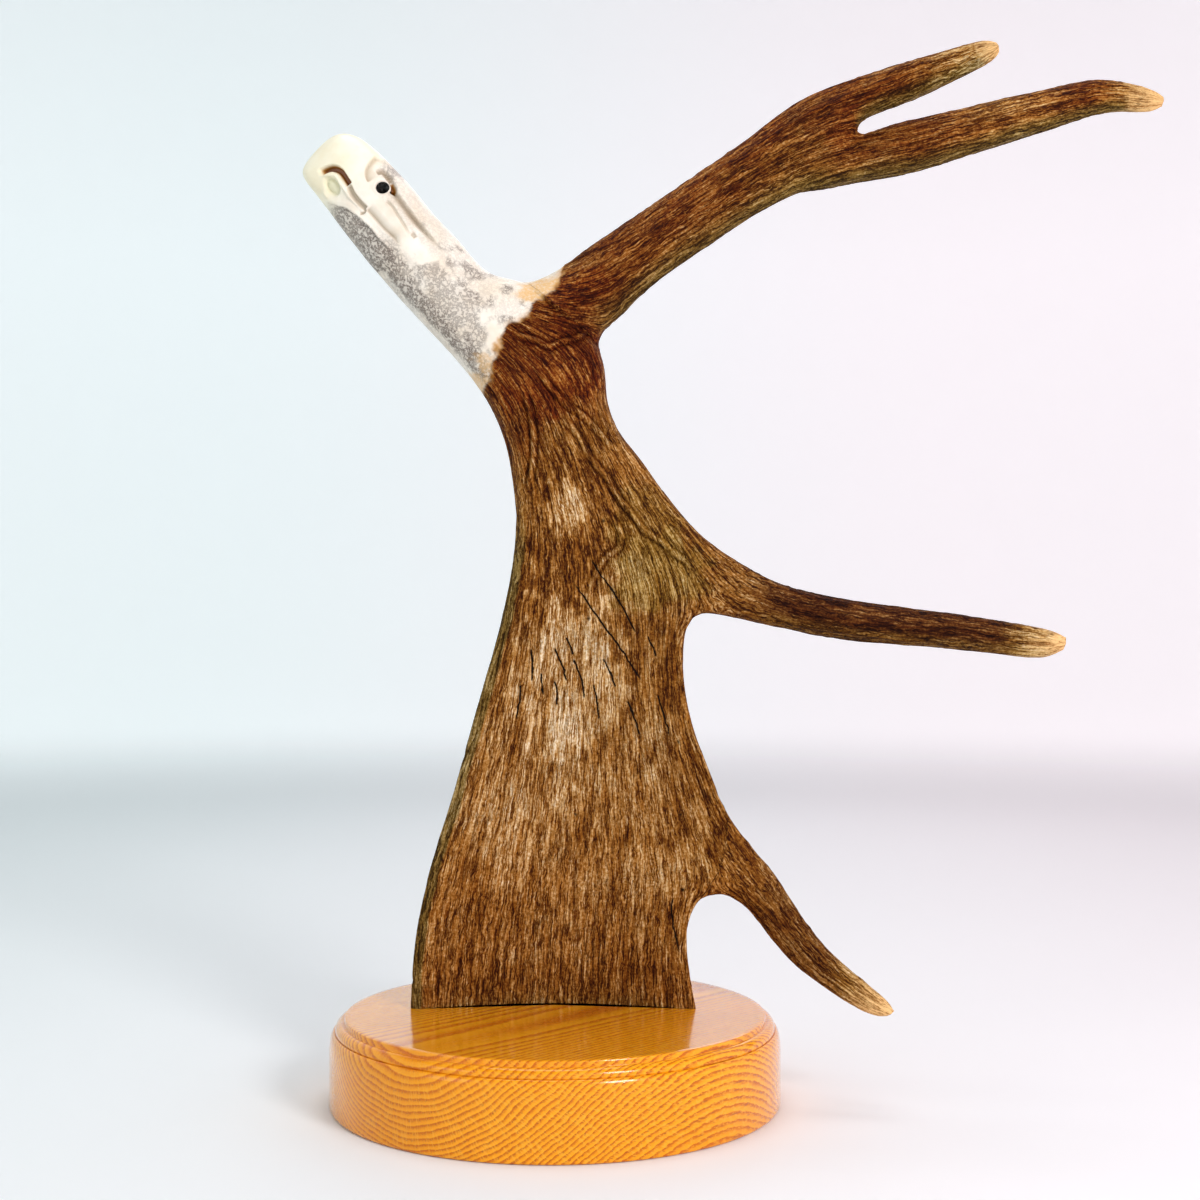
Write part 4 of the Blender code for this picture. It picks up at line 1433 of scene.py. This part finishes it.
def bore_cutter(centre, radius, low, high):
    clear_selection()
    bpy.ops.mesh.primitive_cylinder_add(vertices=48, radius=radius * MM, depth=(high - low) * MM,
                                        location=(centre[0], centre[1], (low + high) / 2 * MM))
    return bpy.context.object


for name, (low, high) in SCREW_BORES:
    centre = (low + high) / 2
    for radius, top in ((COUNTERBORE_RADIUS, COUNTERBORE_DEPTH), (PILOT_RADIUS, BASE_TOP + 1)):
        cutter = bore_cutter(centre, radius, -1, top)
        cut = base.modifiers.new("Bore", "BOOLEAN")
        cut.operation = "DIFFERENCE"
        cut.object = cutter
        apply_modifiers(base)
        bpy.data.objects.remove(cutter, do_unlink=True)
only(base)
bpy.ops.object.shade_smooth_by_angle(angle=math.radians(32))
hand_over(base, "oak", "base")


# %% [markdown]
# ## Glass eyes
#
# A glass eye is a bead with a short stalk that is glued into a drilled socket. The bead is a sphere
# at the place of its solid, and the stalk is pulled out of its inner pole.

# %% Beads
STALK_LENGTH = 5.0
STALK_START = 0.96             # of the bead's radius, where the stalk leaves it


def glass_eye(solid):
    low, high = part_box(solid)
    centre = (low + high) / 2
    radius = (high[0] - low[0]) / 2
    inward = 1 if centre[1] < BEAK_DEPTH * MM else -1
    clear_selection()
    bpy.ops.mesh.primitive_uv_sphere_add(segments=48, ring_count=32, radius=radius, location=centre,
                                         rotation=(math.radians(90), 0, 0))
    eye = bpy.context.object
    eye.name = solid + "_bead"
    bpy.ops.object.transform_apply(location=True, rotation=True, scale=True)
    for face in eye.data.polygons:
        face.select = (face.center.y - centre[1]) * inward > radius * STALK_START
    bpy.ops.object.mode_set(mode="EDIT")
    bpy.ops.mesh.select_mode(type="FACE")
    bpy.ops.mesh.extrude_region_move(
        TRANSFORM_OT_translate={"value": (0, inward * STALK_LENGTH * MM, 0)})
    bpy.ops.object.mode_set(mode="OBJECT")
    bpy.ops.object.shade_smooth_by_angle(angle=math.radians(40))
    hand_over(eye, "eye_glass", solid)
    return eye


eyes = [glass_eye("eye_left"), glass_eye("eye_right")]


# %% [markdown]
# ## Finish of the antler
#
# The same bone is bare on the carved beam and brown on the rest, and both show on the piece where
# they meet. One node group therefore makes the colour, the gloss and the finest relief of the whole
# antler from its masks, and the bare and the brown material both use it, so they match at the seam.
# The finest grain is a 4-D noise: it changes slowly in space and fast across the flow.

# %% Grain of the antler
FIBRE_LENGTH = 95.0            # noise cells per metre along the grain
LONG = (0.22, 0.22, 0.22)      # share of that for the long lines
HALF_LONG = (0.4, 0.4, 0.4)    # and for the furrows


def fibre(tree, where, across, seed):
    """A streaky noise: slow in space, fast with the value across."""
    slow = scaled(tree, where, (FIBRE_LENGTH, FIBRE_LENGTH * 2, FIBRE_LENGTH))
    made = node(tree, "ShaderNodeTexNoise", {
        "Vector": slow, "W": maths(tree, "ADD", across, seed), "Scale": 1.0, "Detail": 4.0,
        "Roughness": 0.62, "Distortion": 0.35}, noise_dimensions="4D")
    return made.outputs["Fac"]


def mix_value(tree, share, first, second):
    made = node(tree, "ShaderNodeMix", {0: share, 2: first, 3: second}, data_type="FLOAT")
    return made.outputs[0]


def flow_fibre(tree, where, mask, wobble, open_count, packed_count, packed_at, seed):
    """Fibre across the flow. Where the flow is crowded it counts slower, to keep one size."""
    made = []
    for count, offset in ((open_count, seed), (packed_count, seed + 31.0)):
        made.append(fibre(tree, where, weighed(tree, wobble, (mask["flow"], count)), offset))
    return mix_value(tree, spread(tree, mask["crowding"], 0.38, packed_at), *made)


def grain_noises(tree, where, mask, patches):
    """The fine grain, the long lines and the dark furrows between ridges."""
    wobble = weighed(tree, -1.0, (noise(tree, where, 170.0, 2.0, 0.5), 2.0))
    flank = fibre(tree, where, weighed(tree, 0.0, (patches, 3.0), (mask["off_core"], 1.3)), 57.0)
    on_face = spread(tree, mask["facing"], 0.2, 0.8)
    fine = flow_fibre(tree, where, mask, wobble, 4.3, 1.6, 0.75, 0.0)
    grain = mix_value(tree, on_face, flank, fine)
    lines = flow_fibre(tree, scaled(tree, where, LONG), mask, wobble, 1.5, 0.6, 0.9, 77.0)
    ridges = flow_fibre(tree, scaled(tree, where, HALF_LONG), mask, wobble, 1.7, 0.7, 0.9, 150.0)
    furrow = near_middle(tree, mix_value(tree, on_face, flank, ridges), 0.050)
    return grain, lines, furrow


# %% [markdown]
# The brown skin's colour follows one tone: ridges are pale and furrows nearly black. Four ramps read
# the same tone in brown, red, dark and olive, and the masks say which of them shows where. The bare
# bone is off-white with grey speckles where the rasp left pores open, and cream on the beak.

# %% Colours of the antler
def brown_skin(tree, mask, tone):
    brown = ramp(tree, tone, [
        (0.24, (0.026, 0.004, 0.0003)), (0.38, (0.110, 0.027, 0.0015)), (0.50, (0.255, 0.090, 0.010)),
        (0.60, (0.420, 0.190, 0.042)), (0.72, (0.680, 0.430, 0.190)), (0.86, (0.940, 0.790, 0.570))])
    reds = ramp(tree, tone, [
        (0.26, (0.024, 0.0020, 0.0002)), (0.42, (0.100, 0.0120, 0.0006)), (0.52, (0.205, 0.042, 0.0025)),
        (0.64, (0.410, 0.150, 0.024)), (0.80, (0.720, 0.450, 0.180))])
    darks = ramp(tree, tone, [
        (0.26, (0.012, 0.0015, 0.0002)), (0.44, (0.044, 0.0070, 0.0008)), (0.58, (0.105, 0.028, 0.0035)),
        (0.72, (0.290, 0.130, 0.034)), (0.86, (0.560, 0.360, 0.160))])
    greens = ramp(tree, tone, [
        (0.26, (0.030, 0.012, 0.0008)), (0.42, (0.125, 0.056, 0.0040)), (0.54, (0.290, 0.155, 0.020)),
        (0.68, (0.540, 0.360, 0.110)), (0.84, (0.820, 0.650, 0.340))])
    moss = ramp(tree, tone, [
        (0.26, (0.018, 0.010, 0.0010)), (0.44, (0.075, 0.050, 0.0060)), (0.60, (0.210, 0.150, 0.040)),
        (0.80, (0.520, 0.420, 0.200))])
    brown = blend(tree, mask["ruddy"], brown, reds)
    # The darks ramp is darker brown, and on the tines it is partly painted shade.
    brown = blend(tree, mask["darker_brown_and_shade"], brown, darks)
    # The greens ramp is olive, and on upward faces partly painted top light.
    brown = blend(tree, product(tree, mask["olive_and_top_light"], 0.65), brown, greens)
    brown = blend(tree, product(tree, mask["edge"], 0.75), brown, moss)
    cream_end = blend(tree, spread(tree, tone, 0.34, 0.70), (0.34, 0.135, 0.026), (0.84, 0.52, 0.22))
    return blend(tree, mask["tip"], brown, cream_end)


def bare_bone(tree, mask, patches, flecks, speckle):
    bone = blend(tree, spread(tree, patches, 0.35, 0.7), (0.91, 0.85, 0.75), (0.82, 0.71, 0.57))
    # Grey of the mottle, which on the under sides is partly painted shade.
    bone = blend(tree, product(tree, mask["mottle_and_underside_shade"], 0.60), bone, (0.49, 0.43, 0.37))
    bone = blend(tree, product(tree, speckle, 0.90), bone, (0.13, 0.090, 0.070))
    creamy = blend(tree, spread(tree, patches, 0.3, 0.7), (0.93, 0.88, 0.70), (0.87, 0.77, 0.54))
    bone = blend(tree, mask["cream"], bone, creamy)
    stained = product(tree, mask["stain"], spread(tree, flecks, 0.3, 0.6, 0.5, 1.0))
    bone = blend(tree, product(tree, stained, 0.9), bone, (0.72, 0.43, 0.16))
    bone = blend(tree, product(tree, mask["shade"], 0.72), bone, (0.36, 0.27, 0.165))
    bone = blend(tree, product(tree, mask["moss"], 0.6), bone, (0.66, 0.63, 0.38))
    deep = blend(tree, spread(tree, mask["amber"], 0.62, 1.0), (0.46, 0.23, 0.045), (0.20, 0.058, 0.003))
    return blend(tree, spread(tree, mask["amber"], 0.25, 0.8), bone, deep)


# %% Antler group
TONE_PARTS = {"grain": 0.72, "lines": 0.34, "patches": 0.16, "flecks": 0.50}


def antler_group():
    group = bpy.data.node_groups.new("antler_surface", "ShaderNodeTree")
    for name, kind in (("Color", "Color"), ("Roughness", "Float"), ("Height", "Float")):
        group.interface.new_socket(name=name, in_out="OUTPUT", socket_type="NodeSocket" + kind)
    where = object_place(group)
    mask = {name: node(group, "ShaderNodeAttribute", attribute_name=name).outputs["Fac"]
            for name in MASKS}
    flecks = noise(group, where, 700.0, 3.0, 0.6)
    patches = noise(group, where, 42.0, 4.0, 0.6)
    grain, lines, furrow = grain_noises(group, where, mask, patches)
    parts = {"grain": grain, "lines": lines, "patches": patches, "flecks": flecks}
    middle = 0.5 + 0.07 - sum(TONE_PARTS.values()) / 2
    tone = weighed(group, middle, *[(parts[name], weight) for name, weight in TONE_PARTS.items()],
                   (mask["tan_wear_and_highlight"], 0.18), (mask["groove"], -0.16), (furrow, -0.24))
    speckle = near_middle(group, noise(group, where, 330.0, 5.0, 0.72), 0.075)
    speckle = product(group, mask["mottle_and_underside_shade"], speckle)
    color = blend(group, mask["skin"], bare_bone(group, mask, patches, flecks, speckle),
                  brown_skin(group, mask, tone))
    golden = product(group, mask["gold"], spread(group, patches, 0.42, 0.6, 0.15, 0.85))
    color = blend(group, golden, color, (0.56, 0.27, 0.06))
    off_crack = weighed(group, mask["crack_off"], (maths(group, "SUBTRACT", flecks, 0.5), 0.9))
    crack = spread(group, maths(group, "ABSOLUTE", off_crack), 0.30, 0.70, 1.0, 0.0)
    crack = product(group, crack, spread(group, mask["crack_share"], 0.15, 0.6))
    wild = product(group, mask["skin"], mask["facing"])
    hair = near_middle(group, fibre(group, where, product(group, mask["flow"], 1.3), 93.0), 0.012)
    hair = product(group, hair, spread(group, patches, 0.50, 0.62), wild, 0.75)
    crack = maths(group, "MAXIMUM", maths(group, "MAXIMUM", crack, mask["pore"]), hair)
    color = blend(group, crack, color, (0.008, 0.004, 0.002))
    gloss = weighed(group, mix_value(group, mask["skin"], 0.34, 0.56), (mask["tip"], -0.20),
                    (mask["tan_wear_and_highlight"], -0.10), (mask["groove"], 0.15), (mask["mottle_and_underside_shade"], 0.15))
    rough = weighed(group, 0.0, (grain, 1.0), (lines, 0.7), (flecks, 0.45), (furrow, -0.35),
                    (crack, -0.8))
    polish = weighed(group, 1.0, (mask["tip"], -0.75))
    bare = weighed(group, 1.0, (mask["skin"], -1.0))
    height = weighed(group, product(group, rough, polish, mask["skin"]),
                     (product(group, speckle, bare), -0.22))
    node(group, "NodeGroupOutput", {"Color": color, "Roughness": gloss, "Height": height})
    return group


antler_surface = antler_group()
print("group antler_surface:", len(antler_surface.nodes), "nodes")


# %% The two antler materials
def antler_material(name, shine, coat):
    made, tree, shader = new_material(name, {
        "Specular IOR Level": shine, "Coat Weight": coat, "Coat Roughness": 0.25})
    surface = node(tree, "ShaderNodeGroup", node_tree=antler_surface).outputs
    feed(tree, shader, {"Base Color": surface["Color"], "Roughness": surface["Roughness"],
                        "Normal": bumped(tree, surface["Height"], 0.9, 0.0011)})
    return made


put_on(antler_material("carved_bone", 0.30, 0.10), limbs["beam_head"])
put_on(antler_material("antler_brown", 0.09, 0.0), *[limbs[name] for name in LIMBS[1:]])


# %% [markdown]
# ## Finish of the oak
#
# The base was cut from one plank, so its pattern is a solid one: growth rings round a pith that runs
# level through the wood, above the top. Where the side faces along the pith it shows end grain, in
# bowed rings crossed by rays. The top and the far side show the same rings as long lines. One
# Mapping node turns the pith's line to X, and the distance from that line gives the rings.

# %% Oak
GRAIN_TURN = math.radians(46)  # of the pith, from +X
PITH_SIDE = -0.0134            # metres across the grain
PITH_HEIGHT = 0.088
RINGS_NEAR = 70.0              # growth rings per metre at the pith
RINGS_GAIN = 1730.0            # and how many more of them farther out: an old tree's are thinner


def oak_rings(tree, placed, reach, wave):
    """Where each place lies in its growth ring, from 0 to 1. Rings wave, and their lines are jagged."""
    jag = noise(tree, scaled(tree, placed, (0.5, 1, 1)), 420.0, 3.0, 0.6)
    bent = weighed(tree, reach, (maths(tree, "SUBTRACT", wave, 0.5), 0.010),
                   (maths(tree, "SUBTRACT", jag, 0.5), 0.0013))
    count = weighed(tree, 0.0, (bent, RINGS_NEAR), (product(tree, bent, bent), RINGS_GAIN))
    return maths(tree, "FRACT", count)


def oak_rays(tree, run, side, up, reach):
    """Pale flecks that stand across the rings."""
    angle = maths(tree, "ARCTAN2", side, up)
    place = node(tree, "ShaderNodeCombineXYZ", {
        0: product(tree, angle, 75.0), 1: product(tree, reach, 90.0), 2: product(tree, run, 260.0)})
    return spread(tree, noise(tree, place.outputs[0], 1.6, 2.0, 0.5), 0.50, 0.62)


def oak_material():
    made, tree, shader = new_material("oak_lacquered", {
        "Coat Weight": 1.0, "Coat Roughness": 0.11, "Coat IOR": 1.33, "Specular IOR Level": 0.08})
    turned = node(tree, "ShaderNodeMapping", {"Vector": object_place(tree),
                                              "Rotation": (0, 0, -GRAIN_TURN)})
    placed = node(tree, "ShaderNodeVectorMath",
                  {0: turned.outputs[0], 1: (0, -PITH_SIDE, -PITH_HEIGHT)}).outputs[0]
    run, side, up = axes(tree, placed)
    reach = maths(tree, "SQRT", weighed(tree, product(tree, side, side), (up, up)))
    stretched = scaled(tree, placed, (0.14, 1, 1))
    ring_at = oak_rings(tree, placed, reach, noise(tree, stretched, 24.0, 2.0, 0.5))
    wood = ramp(tree, ring_at, [
        (0.0, (0.56, 0.120, 0.0010)), (0.16, (0.62, 0.150, 0.0015)), (0.45, (0.88, 0.335, 0.0040)),
        (0.85, (0.96, 0.410, 0.0080)), (1.0, (0.56, 0.120, 0.0010))])
    rays = oak_rays(tree, run, side, up, reach)
    wood = blend(tree, product(tree, rays, 0.45), wood, (0.95, 0.47, 0.035))
    pores = spread(tree, noise(tree, scaled(tree, placed, (0.06, 1, 1)), 1250.0, 2.0, 0.5), 0.55, 0.66)
    pores = product(tree, pores, spread(tree, ring_at, 0.62, 0.18, 0.15, 1.0))
    wood = blend(tree, product(tree, pores, 0.70), wood, (0.34, 0.062, 0.0010))
    broad = spread(tree, noise(tree, stretched, 9.0, 3.0, 0.5), 0.35, 0.7, 0.0, 0.30)
    wood = blend(tree, broad, wood, (0.72, 0.190, 0.0030))
    feed(tree, shader, {"Base Color": wood, "Roughness": weighed(tree, 0.24, (pores, 0.10)),
                        "Normal": bumped(tree, product(tree, pores, -1.0), 0.25, 0.0003)})
    return made


put_on(oak_material(), base)


# %% [markdown]
# ## Glass and steel
#
# The eyes are black glass: a nearly black body with a mirror-smooth surface. The screws are seen only
# from below. Their solids have the right shape already and get a drawn steel finish.

# %% Glass
def glass_material():
    made, tree, shader = new_material("eye_glass", {"Roughness": 0.03, "Specular IOR Level": 0.18})
    depth = noise(tree, object_place(tree), 180.0, 2.0, 0.5)
    feed(tree, shader, {"Base Color": ramp(tree, depth, [
        (0.3, (0.002, 0.002, 0.002)), (0.8, (0.010, 0.006, 0.004))])})
    return made


put_on(glass_material(), *eyes)

# %% Steel
def steel_material():
    made, tree, shader = new_material("screw_steel", {"Metallic": 1.0})
    scratch = noise(tree, scaled(tree, object_place(tree), (1.0, 1.0, 14.0)), 700.0, 3.0, 0.6)
    color = ramp(tree, scratch, [(0.3, (0.42, 0.41, 0.38)), (0.7, (0.62, 0.60, 0.56))])
    feed(tree, shader, {"Base Color": color, "Roughness": spread(tree, scratch, 0.3, 0.7, 0.25, 0.42)})
    return made


screws = [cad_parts[name] for name, _ in SCREW_BORES]
put_on(steel_material(), *screws)
